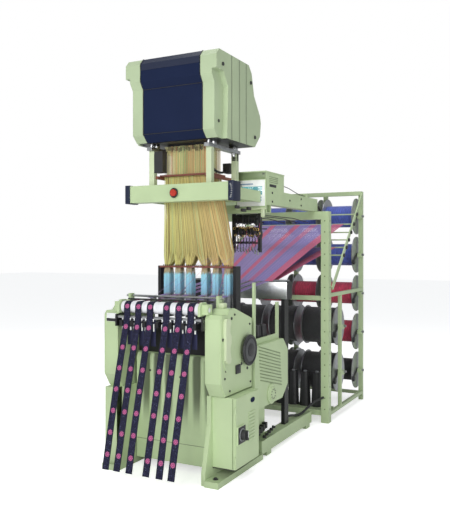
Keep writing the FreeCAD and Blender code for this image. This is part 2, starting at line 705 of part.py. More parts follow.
button_face = f"({cover_start} + cover_sheet)"
button_ring = box("button_ring", ("6", "40", "40"), (button_face, back("button_y - 20"), "button_z - 20"))
button_hole = rod(
    "button_hole", "button_radius + running_gap", "8", (f"{button_face} - 1", back("button_y"), "button_z"),
    "x",
)
node("housing_covers", *cover_sides, cut("button_bezel", button_ring, button_hole))
node(
    "jog_button",
    rod(
        "button_cap", "button_radius", "6 + 2",
        (f"{button_face} + button_travel + 0.5", back("button_y"), "button_z"), "x",
    ),
)

sockets = [
    box(
        f"socket_{step}", ("34", "30", "44"),
        (
            guard_start, back(f"rear_leg_front + 20 + {step} * 42"),
            f"beam_clear + beam_tube_high + 8 + {step} * 8",
        ),
    )
    for step in range(5)
]

# ---------------------------------------------------------------- shed and weft
sley_bar_y = "(sley_y - 15)"
sley_rod = rod(
    "sley_rod", "sley_shaft", "2 * (housing_inner + housing_wall - 1)",
    ("-housing_inner - housing_wall + 1", back("sley_y"), "sley_z"), "x",
)
sley_arm = box("sley_arm", ("20", "26", "sley_bar_z - sley_z + 10"), ("270", back("sley_y - 13"), "sley_z"))
sley_bar = box("sley_bar", ("580", "30", "20"), ("-290", back(sley_bar_y), "sley_bar_z"))
reeds = []
for step, centre in enumerate(tape_centres()):
    reeds.append(
        box(
            f"reed_{step}", ("tape_wide + 6", "8", "reed_high"),
            (f"({centre}) - tape_wide / 2 - 3", back("sley_y - 4"), "sley_bar_z + 20"),
        ),
    )
node("sley", fuse("sley_frame", sley_rod, *both(sley_arm), sley_bar), *reeds)

bracket = box(
    "needle_bracket", ("20", "46", "needle_z + 16 - housing_top"),
    ("housing_inner", back("needle_y - 23"), "housing_top"),
)
bracket_bore = rod(
    "bracket_bore", "needle_bar + running_gap", "20", ("housing_inner", back("needle_y"), "needle_z"), "x",
)
node("bearing_blocks", *both(roller_bearing, cut("needle_bracket_bored", bracket, bracket_bore)))
needle_rod = rod(
    "needle_rod", "needle_bar", "2 * (housing_inner + 45)",
    ("-housing_inner - 45", back("needle_y"), "needle_z"), "x",
)
needle_pieces = [needle_rod]
for step, centre in enumerate(tape_centres()):
    arm_x = f"({centre} + tape_wide / 2 + 38)"
    needle_pieces.append(
        box(
            f"needle_arm_{step}", ("8", "needle_reach - needle_y", "8"),
            (arm_x, back("needle_y"), "needle_z - 4"),
        ),
    )
    needle_pieces.append(
        box(f"needle_drop_{step}", ("8", "6", "24"), (arm_x, back("needle_reach - 6"), "needle_z - 24")),
    )
    needle_pieces.append(
        box(
            f"needle_tip_{step}", ("needle_long", "5", "4"),
            (f"{arm_x} - needle_long + 1", back("needle_reach - 6"), "needle_z - 24"),
        ),
    )
node("weft_needles", fuse("needle_set", *needle_pieces))

# ---------------------------------------------------------------- overhead frame
cross_low = "(arm_low - cross_high)"
tie_x, tie_low = "(front_beam_half - 2 - tie_wide)", "(arm_low + 15)"
tie_start = "(front_beam_y + front_beam_deep)"
arm_tube = square_tube(
    "arm", ("arm_wide", "arm_rear - arm_front", "arm_high"), ("arm_inner", back("arm_front"), "arm_low"), "y",
)
arm_caps = [
    box(f"arm_cap_{step}", ("arm_wide", "tube_wall", "arm_high"), ("arm_inner", back(place_y), "arm_low"))
    for step, place_y in enumerate(("arm_front - tube_wall", "arm_rear"))
]
cross_tube = square_tube(
    "cross", ("2 * (arm_inner + arm_wide)", "cross_deep", "cross_high"),
    ("-arm_inner - arm_wide", back("arm_front"), cross_low), "x",
)
right_tie = box(
    "right_tie", ("tie_wide", f"arm_front - tube_wall - panel_thick - {tie_start}", "tie_high"),
    (tie_x, back(tie_start), tie_low),
)
left_tie = box(
    "left_tie", ("tie_wide", f"arm_front - tube_wall - {tie_start}", "tie_high"),
    (f"-{tie_x} - tie_wide", back(tie_start), tie_low),
)
column_bar = box(
    "column_bar", (f"2 * {tie_x}", "column", "column"), (
        f"-{tie_x}", back("column_rear - column / 2"), tie_low,
    ),
)
cable_gland = box("cable_gland", ("30", "40", "28"), ("385", back("1660"), "arm_low + arm_high"))
node(
    "gantry_arms", *both(arm_tube, *arm_caps), cross_tube, right_tie, left_tie, column_bar,
    cable_gland,
)
front_tube = square_tube(
    "front_tube", ("2 * front_beam_half", "front_beam_deep", "front_beam_high"), ("-front_beam_half", back("front_beam_y"), "arm_low"), "x",
)
end_block = box(
    "end_block", ("end_bracket", "front_beam_deep + 8", "front_beam_high + 6"),
    ("front_beam_half", back("front_beam_y - 4"), "arm_low - 3"),
)

stop_face = back("front_beam_y - 8")
stop_ring = rod("stop_ring", "stop_radius + 8", "8", ("stop_x", stop_face, "stop_z"), "y")
stop_hole = rod(
    "stop_hole", "stop_radius - 8 + running_gap", "10", ("stop_x", back("front_beam_y - 9"), "stop_z"), "y",
)
node("front_beam", front_tube, *both(end_block), cut("stop_collar", stop_ring, stop_hole))
stop_cap = rod(
    "stop_cap", "stop_radius", "12", ("stop_x", back("front_beam_y - 8 - stop_travel - 1 - 12"), "stop_z"),
    "y",
)
stop_stem = rod(
    "stop_stem", "stop_radius - 8", "stop_travel + 2",
    ("stop_x", back("front_beam_y - 9 - stop_travel"), "stop_z"), "y",
)
node("stop_button", fuse("stop_push", stop_cap, stop_stem))

columns = []
for step, (place_y, low) in enumerate(
    (("column_front", "arm_low + front_beam_high"), ("column_rear", "arm_low + 15 + column")),
):
    columns.append(
        box(
            f"column_{step}", ("column", "column", f"column_top - ({low})"),
            ("column_x - column / 2", back(f"{place_y} - column / 2"), low),
        ),
    )
node("head_columns", *both(*columns))
head_rail = box(
    "head_rail", ("column", "column_rear - column_front + 100", "rail_high"),
    ("column_x - column / 2", back("column_front - 50"), "column_top"),
)
levelers = [
    rod(
        f"leveler_{step}", "12", "head_low - column_top - rail_high",
        ("column_x", back(place_y), "column_top + rail_high"),
    )
    for step, place_y in enumerate(("column_front - 20", "column_rear + 20"))
]
node("head_rails", *both(fuse("head_rail_set", head_rail, *levelers)))

# ---------------------------------------------------------------- pattern head
def head_profile(inset, drop):
    """The pattern head's side profile, drawn in by an inset and let down past its lower edge by a drop."""
    return [
        (back(f"head_front + 50 + {inset} + {drop}"), f"head_low - {drop}"),
        (back(f"head_front + {inset}"), f"head_low + 50"),
        (back(f"head_front + {inset}"), f"head_low + 360"),
        (back(f"head_bulge + {inset}"), f"head_low + 410"),
        (back(f"head_bulge + {inset}"), f"head_high - 40"),
        (back(f"head_bulge + 35 + {inset}"), f"head_high - {inset}"),
        (back(f"head_rear - 210 - {inset} / 2"), f"head_high - {inset}"),
        (back(f"head_rear - 160 - {inset}"), f"head_high - 50"),
        (back(f"head_rear - 120 - {inset}"), f"head_low + 370"),
        (back(f"head_rear - 15 - {inset}"), f"head_low + 240"),
        (back(f"head_rear - {inset}"), f"head_low + 190"),
        (back(f"head_rear - 15 - {inset}"), f"head_low + 90"),
        (back(f"head_rear - 105 - {inset} - {drop}"), f"head_low - {drop}"),
    ]


hood_block = side_outline("hood_block", head_profile("0", "0"), "2 * hood_half", "-hood_half")
hood_room = side_outline(
    "hood_room", head_profile("head_skin", "2 * head_skin"), "2 * hood_half", "-hood_half",
)
node("head_hood", cut("hood", hood_block, hood_room))


def pocket_profile(grow):
    """The recess in the lower front of a side cover, grown by a margin."""
    return [
        (back(f"head_bulge - 20 - {grow}"), f"head_low - 20 - {grow}"),
        (back(f"head_bulge - 20 - {grow}"), f"head_low + 440 + {grow}"),
        (back(f"head_front + 60 + {grow}"), f"head_low + 440 + {grow}"),
        (back(f"head_front + 130 + {grow}"), f"head_low + 350 + {grow}"),
        (back(f"head_front + 115 + {grow}"), f"head_low - 20 - {grow}"),
    ]


pocket = side_outline("pocket", pocket_profile("0"), "2 * pocket_deep", "head_half - pocket_deep")
pocket_core = side_outline(
    "pocket_core", pocket_profile("head_skin"), "2 * pocket_deep", "head_half - pocket_deep - head_skin",
)
cheek_block = side_outline("cheek_block", head_profile("0", "0"), "head_half - hood_half", "hood_half")
cheek_room = side_outline(
    "cheek_room", head_profile("head_skin", "2 * head_skin"), "head_half - head_skin - hood_half",
    "hood_half",
)
node(
    "head_side_covers",
    *both(cut("cheek", cheek_block, pocket, cut("cheek_space", cheek_room, pocket_core))),
)

deck_low = "head_low"
deck_rear = box(
    "deck_rear", ("2 * chassis_half", "head_rear - head_front - 265", "chassis_plate"),
    ("-chassis_half", back("head_front + 140"), deck_low),
)
deck_front = box(
    "deck_front", ("2 * (head_half - pocket_deep - 20)", "63", "chassis_plate"),
    ("pocket_deep + 20 - head_half", back("head_front + 77"), deck_low),
)
deck = fuse("deck", deck_front, deck_rear)
chassis_wall = box(
    "chassis_wall", ("10", "327", "head_high - head_low - chassis_plate - 70"),
    ("chassis_half - 10", back("head_front + 140"), "head_low + chassis_plate"),
)
knife_posts = [rod("knife_post", "knife_rod", "400", ("300", back("460"), "head_low + chassis_plate"))]
hook_row = [
    box(
        f"hook_row_{step}", ("2 * cord_half_x", "10", "12"),
        ("-cord_half_x", back(f"cord_front + 6 + {step} * 24"), "head_low - 12"),
    )
    for step in range(7)
]
node("head_chassis", deck, *both(chassis_wall, *knife_posts), *hook_row)
for level, label in (("knife_lower", "lower_knife_frame"), ("knife_upper", "upper_knife_frame")):
    grid = box(
        f"{label}_plate", ("2 * (300 + 2 * knife_rod)", "280", "12"),
        ("-300 - 2 * knife_rod", back("330"), level),
    )
    holes = [
        rod(
            f"{label}_hole_{step}", "knife_rod + running_gap", "14",
            (f"{sign} * 300", back("460"), f"{level} - 1"),
        )
        for step, sign in enumerate((-1, 1))
    ]
    blades = [
        box(
            f"{label}_blade_{step}", ("2 * cord_half_x", "4", "30"),
            ("-cord_half_x", back(f"345 + {step} * 30"), f"{level} - 29"),
        )
        for step in range(8)
    ]
    node(label, fuse(f"{label}_set", cut(f"{label}_drilled", grid, *holes), *blades))

terminal = box(
    "terminal", ("70", "60", "150"),
    ("-column_x + column / 2", back("column_front - 20"), "column_top - 155"),
)
relay = box(
    "relay", ("60", "80", "70"),
    ("column_x - column / 2 - 60", back("column_rear - 40"), "column_top - 140"),
)
node("terminal_blocks", terminal, relay, *sockets)

# ---------------------------------------------------------------- harness
upper_cords = box(
    "upper_cords", (
        "2 * cord_half_x", "cord_rear - cord_front",
        "head_low - 12 - guide_board_z - board_thick - 2 * seat_gap",
    ),
    ("-cord_half_x", back("cord_front"), "guide_board_z + board_thick + seat_gap"),
)
fan = document.addObject("Part::Wedge", "fan")
fan.Placement = FreeCAD.Placement(Vector(), FreeCAD.Rotation(Vector(1, 0, 0), 90))
for path, expression in {
    "Ymin": "fan_low", "Ymax": "guide_board_z - seat_gap",
    "Xmin": "-fan_half_x", "Xmax": "fan_half_x", "X2min": "-cord_half_x", "X2max": "cord_half_x",
    "Zmin": f"-{back('fan_rear')}", "Zmax": f"-{back('fan_front')}",
    "Z2min": f"-{back('cord_rear')}", "Z2max": f"-{back('cord_front')}",
}.items():
    bind(fan, path, expression)
node("harness_cords", upper_cords, fan)
guide_board = box(
    "guide_board", ("2 * (column_x - column / 2) - 4", "cord_rear - cord_front + 50", "board_thick"),
    ("-column_x + column / 2 + 2", back("cord_front - 25"), "guide_board_z"),
)
board_rail = box(
    "board_rail", ("20", "column_rear - column_front", "20"),
    ("column_x - column / 2 - 20", back("column_front"), "guide_board_z - 20"),
)
comb = box(
    "comb", ("2 * (fan_half_x + 28)", "fan_rear - fan_front + 20", "board_thick"),
    ("-fan_half_x - 28", back("fan_front - 10"), "comb_z"),
)
slots = []
for step, centre in enumerate(tape_centres()):
    for row, offset in enumerate(("18", "62")):
        slots.append(
            box(
                f"slot_{step}_{row}", ("heddle_wide - 6 + 0.6", "heddle_tail + 0.6", "board_thick"),
                (f"({centre}) - heddle_wide / 2 + 3 - 0.3", back(f"fan_front + {offset} - 0.3"), "comb_z"),
            ),
        )
node("harness_boards", guide_board, *both(board_rail), cut("comb_board", comb, *slots))

for row, (offset, label) in enumerate((("18", "odd_heddles"), ("62", "even_heddles"))):
    packs = []
    for step, centre in enumerate(tape_centres()):
        pack = box(
            f"{label}_pack_{step}", ("heddle_wide", "heddle_deep", "heddle_top - heddle_low"),
            (
                f"({centre}) - heddle_wide / 2",
                back(f"fan_front + {offset} + heddle_tail / 2 - heddle_deep / 2"), "heddle_low",
            ),
        )
        tail = box(
            f"{label}_tail_{step}",
            ("heddle_wide - 6", "heddle_tail", "comb_z + board_thick + 2 - heddle_top"),
            (f"({centre}) - heddle_wide / 2 + 3", back(f"fan_front + {offset}"), "heddle_top"),
        )
        packs.append(fuse(f"{label}_set_{step}", pack, tail))
    node(label, *packs)

tray = box(
    "tray", ("2 * (fan_half_x + 28)", "fan_rear - fan_front + 20", "15"),
    ("-fan_half_x - 28", back("fan_front - 10"), "tray_z"),
)
upright = box(
    "upright", ("upright", "70", "comb_z + board_thick - frame_top"),
    ("fan_half_x + 28", back("fan_front + 9"), "frame_top"),
)
spring_blocks = [
    box(
        f"spring_block_{step}", ("heddle_wide", "fan_rear - fan_front", "30"),
        (f"({centre}) - heddle_wide / 2", back("fan_front"), "tray_z + 15"),
    )
    for step, centre in enumerate(tape_centres())
]
node("spring_frame", fuse("spring_tray", tray, *spring_blocks), *both(upright))

# ---------------------------------------------------------------- yarn feeding
stop_box = box(
    "stop_box", ("2 * (arm_inner + arm_wide)", "stop_box_deep", "stop_box_high"),
    ("-arm_inner - arm_wide", back("stop_box_y"), "stop_box_low"),
)
stop_leg = box(
    "stop_leg", ("rail", "stop_box_deep - 30", "stop_box_low - beam_clear - beam_tube_high"),
    ("arm_inner + 10", back("stop_box_y + 15"), "beam_clear + beam_tube_high"),
)
node("warp_stop_motion", stop_box, *both(stop_leg))

hanger = box("hanger", ("20", "30", "290"), ("arm_inner - 20", back("feeder_y - 15"), f"{cross_low} - 290"))
inner_hanger = box(
    "inner_hanger", ("20", "30", "290"), ("column_x - 100", back("feeder_y - 15"), f"{cross_low} - 290"),
)
feeder_rods = [
    rod(
        f"feeder_rod_{step}", "6", "arm_inner - column_x + 60",
        ("column_x - 80", back("feeder_y"), f"{cross_low} - 40 - {step} * 90"), "x",
    )
    for step in range(3)
]
feeders = []
for tier in range(2):
    for step in range(3):
        feeder_x = f"(column_x - 74 + {step} * feeder_pitch)"
        feeder_z = f"{cross_low} - 40 - {tier} * 90"
        drum = rod(
            f"feeder_{tier}_{step}", "feeder_radius", "feeder_long", (feeder_x, back("feeder_y"), feeder_z),
            "x",
        )
        core = rod(
            f"feeder_core_{tier}_{step}", "6", "feeder_long", (feeder_x, back("feeder_y"), feeder_z), "x",
        )
        feeders.append(cut(f"feeder_drum_{tier}_{step}", drum, core))
node("weft_feeders", hanger, inner_hanger, *feeder_rods, *feeders)

fork_base = box(
    "fork_base", ("fork_thick", "450", "40"),
    ("fork_x - fork_thick", back("guard_front + 60"), "guard_top"),
)
fork_front = box(
    "fork_front", ("fork_thick", "32", "1270 - guard_top"),
    ("fork_x - fork_thick", back("guard_front + 60"), "guard_top"),
)
fork_rear = box(
    "fork_rear", ("fork_thick", "40", "1107 - guard_top"),
    ("fork_x - fork_thick", back("guard_front + 470"), "guard_top"),
)
bobbins = [
    taper(
        f"bobbin_{step}", "38", "26", "120",
        ("fork_x - fork_thick - 50", back(f"guard_front + 150 + {step} * 100"), "guard_top"),
    )
    for step in range(3)
]
node("bobbin_fork", fuse("fork", fork_base, fork_front, fork_rear))

# ---------------------------------------------------------------- display
display_case = box(
    "display_case", ("display_right - display_left", "display_deep", "display_top - arm_low - arm_high"),
    ("display_left", back("arm_front"), "arm_low + arm_high"),
)
case_front = box(
    "case_front",
    ("display_right - display_left", "tube_wall + panel_thick", "display_top - panel_top - 1"),
    ("display_left", back("arm_front - tube_wall - panel_thick"), "panel_top + 1"),
)
display_shell = fuse("display_shell", display_case, case_front)
display_face = box(
    "display_face", ("display_right - display_left", "panel_thick", "panel_top - panel_bottom"),
    ("display_left", back("arm_front - tube_wall - panel_thick"), "panel_bottom"),
)
node("display_unit", display_shell, display_face)

# ---------------------------------------------------------------- creel
front_post = box("front_post", ("post", "post", "arm_low"), ("post_outer - post", back("post_front"), "0"))
rear_posts = [
    box(
        f"rear_post_{step}", ("rear_post", "rear_post", "rear_post_top"),
        (place_x, back("rear_post_y"), "0"),
    )
    for step, place_x in enumerate(("post_outer - rear_post", "inner_post_x - rear_post / 2"))
]
mid_post = box(
    "mid_post", ("rail", "rail", "rail_mid - rail_low - rail"),
    ("post_outer - rail", back("mid_post_y"), "rail_low + rail"),
)

inside = "(post_outer - post)"
rails = [
    box(
        "top_rail", (f"2 * {inside}", "post", "post"), (f"-{inside}", back("post_front"), "arm_low - post"),
    ),
    box(
        "low_rail", (f"2 * {inside}", "rail", "rail + 10"),
        (f"-{inside}", back("post_front + 10"), "rail_low"),
    ),
    box(
        "waist_rail", (f"2 * {inside}", "rail", "rail + 10"),
        (f"-{inside}", back("post_front + 10"), "rail_mid - rail"),
    ),
    box(
        "rear_top_rail", ("2 * post_outer", "rear_post", "rear_post"),
        ("-post_outer", back("rear_post_y - rear_post"), "rear_post_top - rear_post"),
    ),
    box(
        "rear_low_rail", ("2 * (post_outer - rail)", "rail", "rail"),
        ("-post_outer + rail", back("rear_post_y - rail"), "rail_low"),
    ),
    box(
        "shelf_bar", ("2 * (post_outer - rail)", "20", "rail"),
        ("-post_outer + rail", back("post_front + 10 + shelf_deep - 20"), "rail_low + 10"),
    ),
]
side_rails = [
    box(
        f"side_rail_{step}", ("rail", "rear_post_y - post_front - post", "rail"),
        ("post_outer - rail", back("post_front + post"), level),
    )
    for step, level in enumerate(("rail_low", "rail_mid"))
]
shelf = box(
    "shelf", (f"2 * {inside}", "shelf_deep", "6"),
    (f"-{inside}", back("post_front + 10"), "rail_low + rail + 10"),
)

brace_top = Vector(0, back_mm(size("rear_post_y") - 20), size("rear_post_top") - 25)
brace_foot = Vector(0, back_mm(size("post_front") + 85), size("rail_mid") + 75)


def on_brace(share):
    """A place along the brace's middle line, from its top."""
    return brace_top + (brace_foot - brace_top) * share


brace_line = brace_foot - brace_top
brace_lift = Vector(0, -brace_line.z, brace_line.y).normalize() * (size("brace_wide") / 2)
brace_corners = [
    brace_top + brace_lift, brace_foot + brace_lift, brace_foot - brace_lift, brace_top - brace_lift,
]
brace_face = Part.Face(Part.makePolygon(brace_corners + brace_corners[:1]))
braces = []
for start in (size("post_outer"), -size("post_outer") - size("brace_thick")):
    blade = brace_face.extrude(Vector(size("brace_thick"), 0, 0))
    blade.translate(Vector(start, 0, 0))
    braces.append(blade)
brace_pair = document.addObject("Part::Feature", "brace_pair")
brace_pair.Shape = Part.makeCompound(braces)

ROD_SHARES = (0.24, 0.35, 0.44, 0.52, 0.60, 0.68)
guide_rods = [
    rod(
        f"guide_rod_{step}", "6", "2 * post_outer",
        ("-post_outer", str(on_brace(share).y), str(on_brace(share).z)), "x",
    )
    for step, share in enumerate(ROD_SHARES)
]
node("creel_braces", brace_pair, *guide_rods)

saddles = []
for row in range(5):
    level = f"rear_axle_low + {row} * rear_axle_pitch"
    for step, place_x in enumerate(("post_outer - rear_post", "inner_post_x - rear_post / 2")):
        block = box(
            f"saddle_{row}_{step}", ("rear_post", "rear_post_y - rear_axle_y + 20", "40"),
            (place_x, back("rear_axle_y - 20"), f"{level} - 25"),
        )
        seat = rod(
            f"saddle_bore_{row}_{step}", "axle_radius + running_gap", "rear_post",
            (place_x, back("rear_axle_y"), level), "x",
        )
        saddles.append(cut(f"saddle_set_{row}_{step}", block, seat))
for row in range(2):
    level = f"front_axle_low + {row} * front_axle_pitch"
    block = box(
        f"front_saddle_{row}", ("rail", "front_axle_y - mid_post_y - rail + 20", "40"),
        ("post_outer - rail", back("mid_post_y + rail"), f"{level} - 25"),
    )
    seat = rod(
        f"front_saddle_bore_{row}", "axle_radius + running_gap", "rail",
        ("post_outer - rail", back("front_axle_y"), level), "x",
    )
    saddles.append(cut(f"front_saddle_set_{row}", block, seat))
node("creel_frame", *both(front_post, *rear_posts, mid_post, *side_rails, *saddles), *rails, shelf)


def warp_beam(label, axle_y, level, yarn):
    """Three flanged spools on one axle, with their wound warp."""
    axle = rod(
        f"{label}_axle", "axle_radius", "2 * (post_outer + 20)", ("-post_outer - 20", back(axle_y), level),
        "x",
    )
    pieces = [axle]
    spans = (("spool_inner", "spool_outer"), ("-spool_mid", "spool_mid"), ("-spool_outer", "-spool_inner"))
    for step, (start, end) in enumerate(spans):
        low = rod(
            f"{label}_flange_low_{step}", "flange_radius", "flange_thick", (start, back(axle_y), level),
            "x",
        )
        high = rod(
            f"{label}_flange_high_{step}", "flange_radius", "flange_thick",
            (f"({end}) - flange_thick", back(axle_y), level), "x",
        )
        wound = rod(
            f"{label}_yarn_{step}", yarn, f"({end}) - ({start}) - 2 * flange_thick",
            (f"({start}) + flange_thick", back(axle_y), level), "x",
        )
        pieces += [low, high, wound]
    node(label, fuse(f"{label}_set", *pieces))


for row in range(5):
    warp_beam(
        f"warp_beam_rear_{row + 1}", "rear_axle_y", f"rear_axle_low + {row} * rear_axle_pitch",
        "yarn_radius",
    )
for row in range(2):
    warp_beam(
        f"warp_beam_front_{row + 1}", "front_axle_y", f"front_axle_low + {row} * front_axle_pitch",
        "full_yarn",
    )

packages = [
    taper(
        f"package_{step}", "cone_low", "cone_top", "cone_high",
        (f"({step} - 3.5) * cone_pitch", back("post_front + 150"), "rail_low + rail + 16"),
    )
    for step in range(8)
]
node("yarn_packages", *packages, *bobbins)


def warp_sheet(start, end, start_half, end_half, thick):
    """A thin layer of warp between two bars, narrowing towards the loom."""
    corners = [
        Vector(-start_half, start.y, start.z), Vector(start_half, start.y, start.z),
        Vector(end_half, end.y, end.z), Vector(-end_half, end.y, end.z),
    ]
    return Part.Face(Part.makePolygon(corners + corners[:1])).extrude(Vector(0, 0, thick))


stop_top = size("stop_box_low") + size("stop_box_high") + size("seat_gap")
sheet_lift = Vector(0, 0, 6 + 2 * size("seat_gap"))
layers = []
for share, reach in ((0.35, 10), (0.60, 100)):
    landing = Vector(0, back_mm(size("stop_box_y") + reach), stop_top)
    layers.append(warp_sheet(on_brace(share) + sheet_lift, landing, 480, 300, 1.5))
shaped("warp_sheets", Part.makeCompound(layers))


def cord(label, points, diameter):
    """A cable of straight runs joined by tangent arcs as large as the runs allow."""
    points = [Vector(*point) for point in points]
    edges, here, radii = [], points[0], []
    for before, corner, after in zip(points, points[1:], points[2:]):
        run_in, run_out = corner - before, after - corner
        turn = run_in.getAngle(run_out)
        cut_back = 0.45 * min(run_in.Length, run_out.Length)
        radii.append(cut_back / math.tan(turn / 2))
        start = corner - Vector(run_in).normalize() * cut_back
        end = corner + Vector(run_out).normalize() * cut_back
        inward = (Vector(run_out).normalize() - Vector(run_in).normalize()).normalize()
        depth = radii[-1] * (1 / math.cos(turn / 2) - 1)
        edges += [Part.makeLine(here, start), Part.Arc(start, corner + inward * depth, end).toShape()]
        here = end
    edges.append(Part.makeLine(here, points[-1]))
    path = Part.Wire(edges)
    circle = Part.Wire(Part.makeCircle(diameter / 2, points[0], points[1] - points[0]))
    tube = path.makePipeShell([circle], True, False)
    ideal = math.pi * diameter ** 2 / 4 * path.Length
    print(
        f"{label}: length {path.Length:.0f}, volume ratio {tube.Volume / ideal:.4f}, radii",
        [round(r) for r in radii],
    )
    shaped(label, tube)


def route(*places):
    """Cord points given as (right, back, up) from the loom's front edge."""
    return [(across, back_mm(depth), up) for across, depth, up in places]


cord("display_cable", route(
    (400, 1130, 2000), (400, 1190, 2000), (406, 1255, 1994), (409, 1325, 1984), (409, 1400, 1972),
    (406, 1475, 1963), (402, 1550, 1958), (400, 1610, 1957), (400, 1660, 1957),
), 6)
cord("head_cable", route(
    (186, 345, 2250), (186, 345, 2210), (187, 347, 2165), (188, 358, 2125), (189, 385, 2090), (190, 420, 2068),
    (190, 462, 2056), (189, 510, 2051), (187, 558, 2053), (180, 600, 2063), (180, 640, 2063),
), 16)
cord("post_hose", route(
    (400, 1905, 1893), (400, 1945, 1893), (407, 1985, 1880), (420, 2018, 1853), (435, 2038, 1815), (451, 2044, 1772),
    (466, 2036, 1729), (479, 2014, 1692), (490, 1986, 1665), (497, 1955, 1652), (497, 1920, 1652),
), 18)
cord("floor_hose", route(
    (390, 1285, 165), (390, 1335, 165), (394, 1390, 156), (399, 1445, 144), (405, 1500, 136), (412, 1558, 138),
    (422, 1615, 152), (435, 1668, 174), (453, 1716, 196), (474, 1760, 213), (500, 1806, 222), (500, 1850, 222),
), 20)

document.recompute()
failed = [thing.Label for thing in document.Objects if {"Invalid", "Error"} & set(thing.State)]
if failed:
    raise RuntimeError(f"these objects failed: {failed}")
labels = [part.Label for part in NODES]
if len(set(labels)) != len(labels):
    raise RuntimeError("two sub-parts share a name")
for part in NODES:
    if part.Shape.isNull() or not part.Shape.isValid():
        raise RuntimeError(f"{part.Label} has no valid shape")

os.makedirs("parts", exist_ok=True)
for part in NODES:
    part.Shape.exportStep(f"parts/{part.Label}.step")
print(len(NODES), "sub-parts")
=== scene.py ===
"""Looks of a six-tape needle loom with a pattern head, an overhead frame and a warp creel.

Places are millimetres: X to the operator's right, Y back from the loom's front edge, Z up.
"""

import logging
import math
from dataclasses import dataclass
from enum import Enum

import bmesh
import bpy
import numpy as np
from mathutils import Matrix, Vector


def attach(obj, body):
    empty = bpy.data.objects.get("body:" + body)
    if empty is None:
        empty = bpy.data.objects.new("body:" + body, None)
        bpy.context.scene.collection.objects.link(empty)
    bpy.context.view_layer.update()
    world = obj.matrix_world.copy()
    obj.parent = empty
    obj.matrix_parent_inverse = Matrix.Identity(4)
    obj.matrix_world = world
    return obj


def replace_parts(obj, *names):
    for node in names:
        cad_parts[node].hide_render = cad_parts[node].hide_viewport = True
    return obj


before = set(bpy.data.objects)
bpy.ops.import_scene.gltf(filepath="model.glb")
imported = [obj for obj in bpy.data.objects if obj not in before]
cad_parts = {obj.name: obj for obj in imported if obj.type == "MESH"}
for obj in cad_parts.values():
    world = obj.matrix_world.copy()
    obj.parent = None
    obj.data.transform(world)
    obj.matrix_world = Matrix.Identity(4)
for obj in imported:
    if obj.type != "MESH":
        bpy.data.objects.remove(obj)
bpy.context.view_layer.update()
LOG = logging.getLogger("loom")
SIDES = ((-1, "left"), (1, "right"))
FRONT_EDGE = -0.350  # Y of the loom's front edge in the frame, in metres
TAPE_CENTRES = (-249, -157, -65, 65, 157, 249)
ROLLER = (50.0, 1115.0, 40.9)  # the take-up roller's Y, Z and radius
REAR_BEAMS = [(2885, 300 + 384 * row) for row in range(5)]  # Y and Z of each axle
FRONT_BEAMS = [(2290, 380 + 420 * row) for row in range(2)]
REAR_YARN, FRONT_YARN = 108, 165  # radius of the wound yarn
SHARP = math.radians(38)  # an edge that turns more than this isn't shaded smooth
EASED = 0.6  # an edge that turns more than this is bevelled, in radians
Socket = bpy.types.NodeSocket
Value = Socket | float | tuple
BUILT: dict[str, bpy.types.Material] = {}


class Body(str, Enum):
    """The bodies that pieces ride on."""

    LOOM = "loom"
    DOOR = "door_body"
    SWITCH = "switch_body"
    SHAFT = "main_shaft_body"
    ODD = "odd_heddles_body"
    EVEN = "even_heddles_body"


class Axis(Enum):
    """The direction that a round piece runs along."""

    X = Matrix.Rotation(math.radians(90), 4, "Y")
    Y = Matrix.Rotation(math.radians(-90), 4, "X")
    Z = Matrix.Identity(4)


def at(x: float, y: float, z: float) -> Vector:
    """Turns a place in millimetres into the frame's metres.

    Args:
        x: To the operator's right.
        y: Back from the loom's front edge.
        z: Up from the floor.

    Returns:
        The place in the frame.
    """
    return Vector((x / 1000, y / 1000 + FRONT_EDGE, z / 1000))


